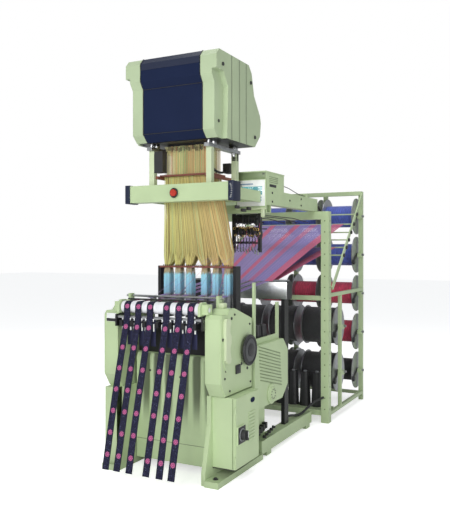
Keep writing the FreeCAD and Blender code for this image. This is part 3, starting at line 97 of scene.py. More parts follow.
# ------------------------------------------------------------------ materials
class Graph:
    """A small builder for one node material."""

    def __init__(self, name: str) -> None:
        """Starts an empty material with one principled shader.

        Args:
            name: The material's name.
        """
        self.material = bpy.data.materials.new(name)
        self.material.use_nodes = True
        self.tree = self.material.node_tree
        self.tree.nodes.clear()
        output = self.tree.nodes.new("ShaderNodeOutputMaterial")
        self.shader = self.tree.nodes.new("ShaderNodeBsdfPrincipled")
        self.tree.links.new(self.shader.outputs[0], output.inputs["Surface"])
        self.coords = self.tree.nodes.new("ShaderNodeTexCoord").outputs["Object"]

    def put(self, socket: Socket, value: Value) -> None:
        """Links a socket to another, or sets its constant.

        Args:
            socket: The input to fill.
            value: Another socket, a number, a vector or a colour.
        """
        if isinstance(value, Socket):
            self.tree.links.new(value, socket)
        elif isinstance(value, tuple) and len(value) == 3 and len(socket.default_value) == 4:
            socket.default_value = (*value, 1.0)
        else:
            socket.default_value = value

    def shade(self, **values: Value) -> None:
        """Sets inputs of the shader; underscores stand for spaces."""
        for key, value in values.items():
            self.put(self.shader.inputs[key.replace("_", " ")], value)

    def maths(
        self, operation: str, first: Value, second: Value = 0.0, third: Value = 0.0,
    ) -> Socket:
        """Adds a maths node.

        Args:
            operation: What it works out.
            first: Its first value.
            second: Its second value.
            third: Its third value.

        Returns:
            The result.
        """
        node = self.tree.nodes.new("ShaderNodeMath")
        node.operation = operation
        for socket, value in zip(node.inputs, (first, second, third)):
            self.put(socket, value)
        return node.outputs[0]

    def times(self, first: Value, second: Value) -> Socket:
        """Two values multiplied."""
        return self.maths("MULTIPLY", first, second)

    def distance(self, first: Value, second: Value) -> Socket:
        """How far a point at two coordinates lies from their origin."""
        first, second = self.maths("POWER", first, 2.0), self.maths("POWER", second, 2.0)
        return self.maths("SQRT", self.maths("ADD", first, second))

    def parts(self, vector: Socket) -> bpy.types.bpy_prop_collection:
        """Splits a vector.

        Args:
            vector: The vector to split.

        Returns:
            Its X, Y and Z.
        """
        node = self.tree.nodes.new("ShaderNodeSeparateXYZ")
        self.put(node.inputs[0], vector)
        return node.outputs

    def stretched(self, scale: tuple) -> Socket:
        """Scales the coordinates by a different amount along each axis.

        Args:
            scale: The amounts along X, Y and Z.

        Returns:
            The scaled coordinates.
        """
        node = self.tree.nodes.new("ShaderNodeMapping")
        self.put(node.inputs["Vector"], self.coords)
        self.put(node.inputs["Scale"], scale)
        return node.outputs[0]

    def noise(self, scale: float, detail: float = 3.0, vector: Socket | None = None) -> Socket:
        """Adds a noise value from 0 to 1.

        Args:
            scale: How fine the noise is.
            detail: How many finer layers it has.
            vector: Its coordinates, if they aren't the object's own.

        Returns:
            The value.
        """
        node = self.tree.nodes.new("ShaderNodeTexNoise")
        self.put(node.inputs["Vector"], vector or self.coords)
        self.put(node.inputs["Scale"], scale)
        self.put(node.inputs["Detail"], detail)
        return node.outputs[0]

    def cells(self, scale: float) -> Socket:
        """Adds the distance to the nearest of many scattered points.

        Args:
            scale: How close together the points are.

        Returns:
            The distance.
        """
        node = self.tree.nodes.new("ShaderNodeTexVoronoi")
        self.put(node.inputs["Vector"], self.coords)
        self.put(node.inputs["Scale"], scale)
        return node.outputs["Distance"]

    def step(self, value: Value, low: float, high: float) -> Socket:
        """Adds a smooth step.

        Args:
            value: What is stepped.
            low: Where the step is 0.
            high: Where it is 1.

        Returns:
            The stepped value.
        """
        node = self.tree.nodes.new("ShaderNodeMapRange")
        node.interpolation_type = "SMOOTHSTEP"
        for socket, number in zip(node.inputs, (value, low, high)):
            self.put(socket, number)
        return node.outputs[0]

    def ramp(self, value: Value, stops: tuple) -> Socket:
        """Adds a colour ramp.

        Args:
            value: Where the ramp is read.
            stops: A place and a colour for each stop.

        Returns:
            The colour.
        """
        node = self.tree.nodes.new("ShaderNodeValToRGB")
        self.put(node.inputs[0], value)
        elements = node.color_ramp.elements
        while len(elements) < len(stops):
            elements.new(1.0)
        for element, (place, colour) in zip(elements, stops):
            element.position = place
            element.color = (*colour, 1.0)
        return node.outputs[0]

    def mix(self, share: Value, first: Value, second: Value) -> Socket:
        """Mixes two colours.

        Args:
            share: How much of the second colour shows.
            first: The first colour.
            second: The second colour.

        Returns:
            The mixed colour.
        """
        node = self.tree.nodes.new("ShaderNodeMix")
        node.data_type = "RGBA"
        self.put(node.inputs[0], share)
        self.put(node.inputs[6], first)
        self.put(node.inputs[7], second)
        return node.outputs[2]

    def attribute(self, name: str) -> Socket:
        """Reads a number stored on the mesh.

        Args:
            name: The attribute's name.

        Returns:
            The number.
        """
        node = self.tree.nodes.new("ShaderNodeAttribute")
        node.attribute_name = name
        return node.outputs["Fac"]

    def rounded(self, radius: float) -> Socket:
        """Reads the normal with every edge eased.

        Args:
            radius: The radius of an eased edge, in metres.

        Returns:
            The normal.
        """
        node = self.tree.nodes.new("ShaderNodeBevel")
        node.samples = 4
        self.put(node.inputs["Radius"], radius)
        return node.outputs[0]

    def geometry(self, name: str) -> Socket:
        """One output of the geometry node."""
        return self.tree.nodes.new("ShaderNodeNewGeometry").outputs[name]

    def sideways(self) -> Socket:
        """How squarely a face looks along X."""
        return self.maths("ABSOLUTE", self.parts(self.geometry("True Normal"))["X"])

    def worn_and_lit_edges(self, normal: Socket) -> Socket:
        """Finds the eased edges, which paint lightens partly as wear and partly as a painted
        highlight.

        Args:
            normal: The normal with its edges eased.

        Returns:
            A mask that is 1 on the edges.
        """
        node = self.tree.nodes.new("ShaderNodeVectorMath")
        node.operation = "DOT_PRODUCT"
        self.put(node.inputs[0], normal)
        self.put(node.inputs[1], self.geometry("True Normal"))
        return self.step(node.outputs["Value"], 0.985, 0.90)

    def bump(
        self, height: Value, depth: float, strength: float = 1.0, normal: Socket | None = None,
    ) -> Socket:
        """Bumps a normal.

        Args:
            height: The height of the surface.
            depth: How far a height of 1 stands up, in metres.
            strength: How much of the bump shows.
            normal: The normal to start from, if it isn't the surface's own.

        Returns:
            The bumped normal.
        """
        node = self.tree.nodes.new("ShaderNodeBump")
        self.put(node.inputs["Strength"], strength)
        self.put(node.inputs["Distance"], depth)
        self.put(node.inputs["Height"], height)
        if normal is not None:
            self.put(node.inputs["Normal"], normal)
        return node.outputs[0]


@dataclass(frozen=True)
class Finish:
    """A finish that is built once and shared."""

    name: str
    colour: tuple

    def material(self) -> bpy.types.Material:
        """Builds the material, or returns the one that is there.

        Returns:
            The node material.
        """
        if self.name not in BUILT:
            graph = Graph(self.name)
            self.build(graph)
            BUILT[self.name] = graph.material
        return BUILT[self.name]

    def tone(self, factor: float) -> tuple:
        """The colour made lighter or darker by a factor."""
        return tuple(min(1.0, channel * factor) for channel in self.colour)

    def build(self, graph: Graph) -> None:
        """Fills the graph in.

        Args:
            graph: The material's empty graph.
        """
        raise NotImplementedError


@dataclass(frozen=True)
class Paint(Finish):
    """Sprayed paint with orange peel, faint dirt and lighter edges, partly wear and partly painted
    highlight.
    """

    rough: float = 0.36
    ease: float = 0.004
    gloss: float = 0.6
    grooves: tuple = ()

    def build(self, graph: Graph) -> None:
        """Fills the graph in.

        Args:
            graph: The material's empty graph.
        """
        normal = graph.rounded(self.ease)
        cloud = graph.noise(2.3, 4.0)
        base = graph.mix(graph.step(cloud, 0.35, 0.7), self.tone(0.93), self.tone(1.04))
        dirt = graph.step(graph.noise(19.0, 6.0), 0.62, 0.80)
        base = graph.mix(graph.times(dirt, 0.25), base, self.tone(0.72))
        low = graph.step(graph.parts(graph.coords)["Z"], 0.25, 0.0)
        base = graph.mix(graph.times(low, 0.30), base, self.tone(0.60))
        # lighter eased edges: partly wear, partly a painted highlight on the rounded edge
        base = graph.mix(graph.times(graph.worn_and_lit_edges(normal), 0.45), base, self.tone(1.30))
        height = graph.times(graph.noise(420.0, 2.0), 0.10)
        if self.grooves:
            side = graph.maths("GREATER_THAN", graph.sideways(), 0.8)
            for place in self.grooves:
                back = graph.parts(graph.coords)["Y"]
                away = graph.maths("SUBTRACT", back, place / 1000 + FRONT_EDGE)
                line = graph.step(graph.maths("ABSOLUTE", away), 0.012, 0.003)
                line = graph.times(line, side)
                height = graph.maths("SUBTRACT", height, graph.times(line, 6.0))
                base = graph.mix(graph.times(line, 0.75), base, self.tone(0.40))
        roughness = graph.maths("MULTIPLY_ADD", graph.noise(60.0), 0.16, self.rough - 0.08)
        graph.shade(Base_Color=base, Roughness=roughness, Specular_IOR_Level=0.5 * self.gloss)
        graph.shade(Coat_Weight=0.15 * self.gloss, Coat_Roughness=0.25)
        graph.shade(Normal=graph.bump(height, 0.001, 0.6, normal))


@dataclass(frozen=True)
class Pressed(Paint):
    """Paint on a pressed skin, with painted shade in each scoop where the stored tone is high."""

    def build(self, graph: Graph) -> None:
        """Fills the graph in.

        Args:
            graph: The material's empty graph.
        """
        normal = graph.rounded(self.ease)
        cloud = graph.step(graph.noise(2.3, 4.0), 0.35, 0.7)
        base = graph.mix(cloud, self.tone(0.92), self.tone(1.04))
        # painted shade: the scoops are darkened to stand for the shade that falls in them
        deep = graph.step(graph.attribute("tone"), 0.05, 0.8)
        base = graph.mix(graph.times(deep, 0.88), base, self.tone(0.17))
        low = graph.step(graph.parts(graph.coords)["Z"], 0.25, 0.0)
        base = graph.mix(graph.times(low, 0.25), base, self.tone(0.65))
        peel = graph.times(graph.noise(420.0, 2.0), 0.10)
        rough = graph.maths("MULTIPLY_ADD", graph.noise(60.0), 0.16, 0.30)
        graph.shade(Base_Color=base, Roughness=rough)
        graph.shade(Normal=graph.bump(peel, 0.001, 0.6, normal))


@dataclass(frozen=True)
class Metal(Finish):
    """Turned or brushed metal with fine lines."""

    lines: tuple = (900.0, 30.0, 30.0)
    rough: float = 0.30

    def build(self, graph: Graph) -> None:
        """Fills the graph in.

        Args:
            graph: The material's empty graph.
        """
        grain = graph.noise(1.0, 5.0, graph.stretched(self.lines))
        base = graph.mix(graph.step(grain, 0.3, 0.7), self.tone(0.82), self.tone(1.08))
        stain = graph.step(graph.noise(14.0, 5.0), 0.58, 0.78)
        base = graph.mix(graph.times(stain, 0.35), base, self.tone(0.55))
        rough = graph.maths("MULTIPLY_ADD", grain, 0.22, self.rough - 0.1)
        normal = graph.bump(grain, 0.0006, 0.4, graph.rounded(0.0015))
        graph.shade(Base_Color=base, Metallic=1.0, Roughness=rough, Normal=normal)


@dataclass(frozen=True)
class Plastic(Finish):
    """Moulded plastic or rubber with a fine grain."""

    rough: float = 0.45
    grain: float = 700.0

    def build(self, graph: Graph) -> None:
        """Fills the graph in.

        Args:
            graph: The material's empty graph.
        """
        cloud = graph.noise(26.0, 4.0)
        base = graph.mix(cloud, self.tone(0.85), self.tone(1.2))
        rough = graph.maths("MULTIPLY_ADD", cloud, 0.2, self.rough - 0.1)
        normal = graph.bump(graph.noise(self.grain, 2.0), 0.0006, 0.5, graph.rounded(0.0015))
        graph.shade(Base_Color=base, Roughness=rough, Normal=normal)


@dataclass(frozen=True)
class Wound(Finish):
    """A spool of wound yarn between metal flanges, round an axle along X."""

    axle: tuple = (0.0, 0.0)
    yarn: float = 108.0

    def build(self, graph: Graph) -> None:
        """Fills the graph in.

        Args:
            graph: The material's empty graph.
        """
        across, back, up = graph.parts(graph.coords)
        back = graph.maths("SUBTRACT", back, self.axle[0] / 1000 + FRONT_EDGE)
        up = graph.maths("SUBTRACT", up, self.axle[1] / 1000)
        reach = graph.distance(back, up)
        rim = graph.maths("GREATER_THAN", reach, self.yarn / 1000 + 0.0015)
        axle = graph.maths("LESS_THAN", reach, 0.014)
        face = graph.maths("GREATER_THAN", graph.sideways(), 0.7)
        metal = graph.maths("MAXIMUM", graph.maths("MAXIMUM", rim, axle), face)
        turn = graph.maths("SINE", graph.times(across, 1500.0))
        fleck = graph.noise(1.0, 4.0, graph.stretched((420.0, 24.0, 24.0)))
        band = graph.noise(1.0, 2.0, graph.stretched((26.0, 3.0, 3.0)))
        thread = graph.mix(graph.step(fleck, 0.3, 0.7), self.tone(0.55), self.tone(1.25))
        thread = graph.mix(graph.times(graph.step(band, 0.45, 0.65), 0.5), thread, self.tone(0.7))
        steel = graph.mix(graph.noise(30.0, 4.0), (0.20, 0.21, 0.22), (0.52, 0.53, 0.55))
        graph.shade(Base_Color=graph.mix(metal, thread, steel), Metallic=metal)
        graph.shade(Roughness=graph.maths("MULTIPLY_ADD", metal, -0.38, 0.68), Sheen_Weight=0.3)
        height = graph.times(graph.maths("ADD", turn, fleck), graph.maths("SUBTRACT", 1.0, metal))
        graph.shade(Normal=graph.bump(height, 0.0010, 0.6))


@dataclass(frozen=True)
class Threads(Finish):
    """Loose threads whose tone is stored on the mesh, shifted from left to right."""

    right: tuple = (0.5, 0.5, 0.5)
    dark: tuple = (0.1, 0.1, 0.1)
    accents: tuple = ()
    reach: float = 0.27

    def build(self, graph: Graph) -> None:
        """Fills the graph in.

        Args:
            graph: The material's empty graph.
        """
        tone = graph.attribute("tone")
        side = graph.step(graph.parts(graph.coords)["X"], -self.reach, self.reach)
        light = graph.mix(side, self.colour, self.right)
        # the dark end of the tone is partly random thread tone and partly painted shade in the gaps
        # between threads
        base = graph.mix(graph.step(tone, 0.0, 0.55), self.dark, light)
        for low, colour in self.accents:
            picked = graph.maths("COMPARE", tone, low, 0.045)
            base = graph.mix(picked, base, colour)
        twist = graph.noise(1.0, 2.0, graph.stretched((900.0, 900.0, 260.0)))
        base = graph.mix(graph.times(twist, 0.35), base, self.dark)
        graph.shade(Base_Color=base, Roughness=0.62, Sheen_Weight=0.25)
        graph.shade(Normal=graph.bump(twist, 0.0008, 0.5))


@dataclass(frozen=True)
class HeddleBands(Finish):
    """Heddle bundles: grey wires below, blue springs and knots, and tan cords above."""

    def build(self, graph: Graph) -> None:
        """Fills the graph in.

        Args:
            graph: The material's empty graph.
        """
        up = graph.parts(graph.coords)["Z"]
        ragged = graph.maths("MULTIPLY_ADD", graph.attribute("tone"), 0.02, up)
        place = graph.step(ragged, 1.00, 1.40)
        base = graph.ramp(place, (
            (0.0, (0.20, 0.20, 0.22)), (0.44, (0.33, 0.34, 0.37)), (0.50, self.tone(0.80)),
            (0.70, self.colour), (0.93, self.tone(1.15)),
            (0.955, (0.50, 0.40, 0.20)), (1.0, (0.62, 0.50, 0.26)),
        ))
        fine = graph.stretched((500.0, 500.0, 140.0))
        beads = graph.step(graph.noise(1.0, 2.0, fine), 0.52, 0.66)
        base = graph.mix(graph.times(beads, 0.55), base, (0.72, 0.80, 0.85))
        shadow = graph.step(graph.attribute("tone"), 0.30, 0.0)
        base = graph.mix(graph.times(shadow, 0.6), base, (0.05, 0.07, 0.10))
        graph.shade(Base_Color=base, Roughness=0.5, Normal=graph.bump(beads, 0.001, 0.5))


@dataclass(frozen=True)
class Woven(Finish):
    """A narrow woven tape with a speckled ground and a row of rosettes."""

    pitch: float = 0.138
    petal: tuple = (0.50, 0.12, 0.27)

    def build(self, graph: Graph) -> None:
        """Fills the graph in.

        Args:
            graph: The material's empty graph.
        """
        along, across = graph.attribute("along"), graph.attribute("across")
        wave = graph.maths("SINE", graph.times(along, 2600.0))
        weft = graph.maths("SINE", graph.times(across, 4200.0))
        weave = graph.times(wave, weft)
        repeat = graph.maths("PINGPONG", along, self.pitch / 2)
        turn = graph.maths("ARCTAN2", repeat, across)
        lobes = graph.times(graph.maths("COSINE", graph.times(turn, 8.0)), 0.0022)
        reach = graph.distance(repeat, across)
        petals = graph.step(graph.maths("SUBTRACT", reach, lobes), 0.0165, 0.0148)
        off_heart = graph.maths("ABSOLUTE", graph.maths("SUBTRACT", reach, 0.0080))
        heart = graph.step(off_heart, 0.0024, 0.0010)
        speck = graph.step(graph.cells(150.0), 0.24, 0.14)
        speck = graph.times(speck, graph.step(graph.noise(60.0), 0.45, 0.6))
        fleck = graph.step(graph.noise(240.0), 0.42, 0.62)
        ground = graph.mix(fleck, self.tone(0.5), self.tone(2.2))
        ground = graph.mix(graph.times(speck, 0.75), ground, (0.30, 0.34, 0.62))
        base = graph.mix(petals, ground, self.petal)
        base = graph.mix(heart, base, (0.20, 0.03, 0.12))
        edge = graph.step(graph.maths("ABSOLUTE", across), 0.0215, 0.0230)
        base = graph.mix(edge, base, (0.012, 0.012, 0.02))
        graph.shade(Base_Color=base, Roughness=0.72, Specular_IOR_Level=0.25)
        graph.shade(Normal=graph.bump(weave, 0.0005, 0.5))


@dataclass(frozen=True)
class Screen(Finish):
    """A lit display with a few plain blocks and rules."""

    low: float = 1.88
    row: float = 0.020

    def build(self, graph: Graph) -> None:
        """Fills the graph in.

        Args:
            graph: The material's empty graph.
        """
        across, _, up = graph.parts(graph.coords)
        height = graph.maths("SUBTRACT", up, self.low)
        row = graph.maths("FRACT", graph.times(height, 1 / self.row))
        rule = graph.maths("GREATER_THAN", row, 0.62)
        patches = graph.noise(1.0, 1.0, graph.stretched((90.0, 1.0, 50.0)))
        block = graph.maths("GREATER_THAN", patches, 0.52)
        ink = graph.times(graph.times(rule, block), 0.7)
        base = graph.mix(graph.step(across, 0.20, 0.42), self.tone(1.25), self.tone(0.7))
        base = graph.mix(ink, base, (0.75, 0.88, 0.88))
        graph.shade(Base_Color=base, Roughness=0.18, Coat_Weight=0.5)
        graph.shade(Emission_Color=base, Emission_Strength=0.25)


@dataclass(frozen=True)
class Ground(Finish):
    """A pale studio floor."""

    def build(self, graph: Graph) -> None:
        """Fills the graph in.

        Args:
            graph: The material's empty graph.
        """
        base = graph.mix(graph.noise(0.8, 3.0), self.tone(0.99), self.tone(1.01))
        seen = graph.tree.nodes.new("ShaderNodeLightPath").outputs["Is Camera Ray"]
        graph.shade(Base_Color=base, Roughness=0.75, Emission_Color=(1.0, 1.0, 1.0))
        graph.shade(Emission_Strength=graph.times(seen, 0.55))


GREEN = Paint("green_paint", (0.475, 0.590, 0.345))
GREEN_HEAD = Paint("head_green", (0.420, 0.510, 0.325), grooves=(370, 490, 600))
# a lighter copy of the green paint: painted light that makes up for the shade on the front panel
PRESSED_LIT = Pressed("pressed_green_lit", (0.63, 0.78, 0.46))
# dark green for painted shade in ribs, a crease, slots, holes and under the display lid, and for a
# real seam
GREEN_SHADE_AND_SEAM = Paint("green_shade_and_seam_paint", (0.19, 0.25, 0.13))
GREEN_PALE = Paint("pale_green_paint", (0.56, 0.64, 0.42))
NAVY = Paint("navy_paint", (0.013, 0.020, 0.052), rough=0.50, gloss=0.06)
BLACK_PAINT = Paint("black_paint", (0.018, 0.018, 0.020))
SLATE = Paint("slate_paint", (0.024, 0.030, 0.056), gloss=0.3)
MOTOR_PAINT = Paint("motor_paint", (0.10, 0.12, 0.13))
STEEL = Metal("steel", (0.56, 0.57, 0.58))
ALUMINIUM = Metal("aluminium", (0.80, 0.81, 0.83), rough=0.24)
BRASS = Metal("brass", (0.80, 0.55, 0.20), rough=0.26)
BLACK = Plastic("black_plastic", (0.022, 0.022, 0.024))
GREY = Plastic("grey_plastic", (0.22, 0.23, 0.24))
DARK_GREY = Plastic("dark_grey_plastic", (0.060, 0.063, 0.066))
WHITE = Plastic("white_plastic", (0.78, 0.80, 0.78), rough=0.35)
KEYS = Plastic("key_plastic", (0.22, 0.30, 0.42))
ROLLER_SKIN = Plastic("ground_roller", (0.72, 0.73, 0.76), rough=0.28, grain=1500.0)
RUBBER = Plastic("cable_rubber", (0.020, 0.020, 0.021), rough=0.55, grain=1200.0)
RED = Plastic("red_plastic", (0.42, 0.035, 0.02), rough=0.25)
BOARD = Plastic("brown_board", (0.20, 0.060, 0.040), rough=0.5, grain=300.0)
DARK_BOARD = Plastic("dark_board", (0.06, 0.035, 0.025), rough=0.5, grain=300.0)
TEAL = Screen("screen", (0.10, 0.36, 0.40))
HARNESS = Threads(
    "harness_cords", (0.84, 0.86, 0.31), (0.80, 0.58, 0.25), (0.42, 0.32, 0.12),
    ((0.93, (0.66, 0.74, 0.34)),),
)
HARNESS_TOP = Threads(
    "harness_top", (0.92, 0.88, 0.42), (0.84, 0.68, 0.34), (0.60, 0.52, 0.22),
    ((0.90, (0.25, 0.55, 0.22)), (0.80, (0.65, 0.16, 0.08)), (0.70, (0.80, 0.74, 0.30))), 0.16,
)
WARP = Threads(
    "warp_threads", (0.36, 0.25, 0.52), (0.24, 0.19, 0.56), (0.15, 0.10, 0.34),
    ((0.95, (0.62, 0.06, 0.16)), (0.87, (0.50, 0.09, 0.26)), (0.70, (0.46, 0.32, 0.56))), 0.5,
)
HEDDLE = HeddleBands("heddle_bundle", (0.38, 0.76, 0.98))
TAPE = Woven("woven_tape", (0.010, 0.010, 0.030))
TAPE_BACK = Plastic("tape_reverse", (0.016, 0.018, 0.060), rough=0.8, grain=900.0)
FLOOR = Ground("studio_floor", (0.93, 0.93, 0.93))
YARNS = {"black": (0.018, 0.018, 0.020), "red": (0.84, 0.070, 0.150), "blue": (0.095, 0.145, 0.60)}

NODE_FINISHES = {
    GREEN: (
        "foot_rails", "side_beams", "side_frames", "bed_crossbars", "front_panel", "gear_housings",
        "housing_covers", "bearing_blocks", "belt_guard", "control_cabinet", "cabinet_door",
        "gantry_arms", "display_unit", "bobbin_fork", "creel_frame", "creel_braces", "front_beam",
    ),
    GREEN_HEAD: ("head_side_covers",),
    GREEN_PALE: ("head_columns",),
    NAVY: ("head_hood",),
    BLACK_PAINT: (
        "head_chassis", "weft_feeders", "spring_frame", "warp_stop_motion", "tape_guides",
    ),
    MOTOR_PAINT: ("drive_motor",),
    STEEL: (
        "guide_roller", "main_shaft", "motor_pulley", "sley", "weft_needles", "head_rails",
        "lower_knife_frame", "upper_knife_frame",
    ),
    ROLLER_SKIN: ("take_up_roller",),
    BLACK: (
        "cover_screws", "handwheel", "rotary_switch", "jog_button", "terminal_blocks",
        "yarn_packages",
    ),
    RED: ("stop_button",),
    RUBBER: ("drive_belt",),
    BOARD: ("harness_boards",),
}


def dress_frame() -> None:
    """Gives every carried-over node its finish."""
    finishes = {node: finish for finish, nodes in NODE_FINISHES.items() for node in nodes}
    for row, colour in enumerate(("black", "red", "red", "blue", "blue")):
        name = f"warp_beam_rear_{row + 1}"
        finishes[name] = Wound(f"{name}_yarn", YARNS[colour], REAR_BEAMS[row], REAR_YARN)
    for row, axle in enumerate(FRONT_BEAMS):
        name = f"warp_beam_front_{row + 1}"
        finishes[name] = Wound(f"{name}_yarn", YARNS["black"], axle, FRONT_YARN)
    for node, finish in finishes.items():
        LOG.info("%s is in %s", node, finish.name)
        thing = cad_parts[node]
        if not thing.material_slots:
            thing.data.materials.append(finish.material())
        for place in thing.material_slots:
            place.material = finish.material()


# ------------------------------------------------------------------ shapes
def bridge(form: bmesh.types.BMesh, first: list, second: list) -> None:
    """Joins two rows of as many corners with four-sided faces.

    Args:
        form: The mesh that the corners are in.
        first: The first row.
        second: The second row.
    """
    for place in range(len(first) - 1):
        form.faces.new((first[place], first[place + 1], second[place + 1], second[place]))


def enclose(form: bmesh.types.BMesh, first: list, second: list) -> None:
    """Skins two grids of corners and closes the gap round their edges.

    Args:
        form: The mesh that the corners are in.
        first: The rows of the first grid.
        second: The rows of the second grid.
    """
    for grid in (first, second):
        for here, there in zip(grid, grid[1:]):
            bridge(form, here, there)
    for end in (0, -1):
        bridge(form, first[end], second[end])
        bridge(form, [row[end] for row in first], [row[end] for row in second])


def keep(form: bmesh.types.BMesh, name: str) -> bpy.types.Mesh:
    """Turns every face outwards and keeps the form as a mesh.

    Args:
        form: What to keep; it is freed.
        name: The mesh's name.

    Returns:
        The new mesh.
    """
    bmesh.ops.recalc_face_normals(form, faces=form.faces)
    data = bpy.data.meshes.new(name)
    form.to_mesh(data)
    form.free()
    return data


def show(name: str, data: bpy.types.ID) -> bpy.types.Object:
    """Puts some data into the scene.

    Args:
        name: The object's name.
        data: Its mesh, curve, camera or light.

    Returns:
        The new object.
    """
    thing = bpy.data.objects.new(name, data)
    bpy.context.scene.collection.objects.link(thing)
    return thing


def settle(
    name: str, data: bpy.types.Mesh, finish: Finish, body: Body = Body.LOOM,
) -> bpy.types.Object:
    """Makes a piece of a mesh, with its finish and body.

    Args:
        name: The piece's name.
        data: Its mesh.
        finish: Its finish.
        body: The body that it rides on.

    Returns:
        The new object.
    """
    data.materials.append(finish.material())
    data.shade_smooth()
    data.set_sharp_from_angle(angle=SHARP)
    thing = show(name, data)
    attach(thing, body.value)
    LOG.info("%s rides on %s", name, body.value)
    return thing


class Shape:
    """Mesh pieces gathered into one object."""

    def __init__(self) -> None:
        """Starts with nothing."""
        self.mesh = bmesh.new()

    def _ease(self, made: list, edge: float) -> None:
        """Bevels the sharp edges of what was just made.

        Args:
            made: Its corners.
            edge: Radius of the eased edges.
        """
        if edge:
            lines = {line for vertex in made for line in vertex.link_edges}
            sharp = [line for line in lines if line.calc_face_angle(0) > EASED]
            bmesh.ops.bevel(
                self.mesh, geom=sharp, offset=edge / 1000, segments=2, profile=0.5, affect="EDGES",
            )

    def box(self, low: tuple, high: tuple, edge: float = 1.0, turn: float = 0.0) -> "Shape":
        """Adds a block with eased edges.

        Args:
            low: Lowest corner, in millimetres.
            high: Highest corner, in millimetres.
            edge: Radius of the eased edges.
            turn: Tilt about X through its middle, in degrees.

        Returns:
            The shape itself.
        """
        start, end = at(*low), at(*high)
        tilt = Matrix.Rotation(math.radians(turn), 4, "X")
        size = Matrix.Diagonal((*(end - start), 1.0))
        place = Matrix.Translation((start + end) / 2) @ tilt @ size
        made = bmesh.ops.create_cube(self.mesh, size=1.0, matrix=place)["verts"]
        self._ease(made, edge)
        return self

    def rod(
        self, start: tuple, length: float, radius: float, axis: Axis, edge: float = 0.8,
        top: float = 0,
    ) -> "Shape":
        """Adds a round bar, or a cone if the far radius is given.

        Args:
            start: The middle of its first end, in millimetres.
            length: Its length.
            radius: Its radius.
            axis: The direction that it runs along.
            edge: Radius of the eased edges.
            top: The radius of the far end, if it differs.

        Returns:
            The shape itself.
        """
        middle = Matrix.Translation((0, 0, length / 2000))
        place = Matrix.Translation(at(*start)) @ axis.value @ middle
        sides = 32 if radius > 12 else 16
        made = bmesh.ops.create_cone(
            self.mesh, cap_ends=True, segments=sides, radius1=radius / 1000,
            radius2=(top or radius) / 1000, depth=length / 1000, matrix=place,
        )["verts"]
        self._ease(made, edge)
        return self

    def ring(self, centre: tuple, radius: float, thick: float, axis: Axis) -> "Shape":
        """Adds a round ring.

        Args:
            centre: Its centre, in millimetres.
            radius: The radius of its middle line.
            thick: The radius of its section.
            axis: The direction that it looks along.

        Returns:
            The shape itself.
        """
        place = Matrix.Translation(at(*centre)) @ axis.value
        rounds, sides = 20, 8
        rows = []
        for step in range(rounds):
            angle = 2 * math.pi * step / rounds
            spoke = Vector((math.cos(angle), math.sin(angle), 0))
            row = []
            for corner in range(sides):
                tilt = 2 * math.pi * corner / sides
                lift = Vector((0, 0, thick * math.sin(tilt)))
                point = spoke * (radius + thick * math.cos(tilt)) + lift
                row.append(self.mesh.verts.new(place @ (point / 1000)))
            rows.append(row)
        for here, there in zip(rows, rows[1:] + rows[:1]):
            bridge(self.mesh, there + there[:1], here + here[:1])
        return self

    def wire(self, points: list, radius: float, sides: int = 8) -> "Shape":
        """Adds a thin bent bar.

        Args:
            points: The places that it runs through, in millimetres.
            radius: Its radius.
            sides: How many faces go round it.

        Returns:
            The shape itself.
        """
        path = [at(*point) for point in points]
        rows = []
        for step, point in enumerate(path):
            ahead = path[min(step + 1, len(path) - 1)] - path[max(step - 1, 0)]
            turn = ahead.to_track_quat("Z", "Y").to_matrix()
            row = []
            for corner in range(sides):
                angle = 2 * math.pi * corner / sides
                offset = turn @ Vector((math.cos(angle), math.sin(angle), 0)) * (radius / 1000)
                row.append(self.mesh.verts.new(point + offset))
            rows.append(row)
        for here, there in zip(rows, rows[1:]):
            bridge(self.mesh, here + here[:1], there + there[:1])
        self.mesh.faces.new(rows[0][::-1])
        self.mesh.faces.new(rows[-1])
        return self

    def prism(self, corners: list, start: float, end: float, edge: float = 1.0) -> "Shape":
        """Adds a plate.

        Args:
            corners: Its outline, as (back, up) places in millimetres.
            start: The X of its first face.
            end: The X of its second face.
            edge: Radius of the eased edges.

        Returns:
            The shape itself.
        """
        near = [self.mesh.verts.new(at(start, *corner)) for corner in corners]
        far = [self.mesh.verts.new(at(end, *corner)) for corner in corners]
        self.mesh.faces.new(near[::-1])
        self.mesh.faces.new(far)
        bridge(self.mesh, near + near[:1], far + far[:1])
        self._ease(near + far, edge)
        return self

    def done(self, name: str, finish: Finish, body: Body = Body.LOOM) -> bpy.types.Object:
        """Makes the object and lets it ride on a body.

        Args:
            name: The piece's name.
            finish: Its finish.
            body: The body that it rides on.

        Returns:
            The new object.
        """
        return settle(name, keep(self.mesh, name), finish, body)


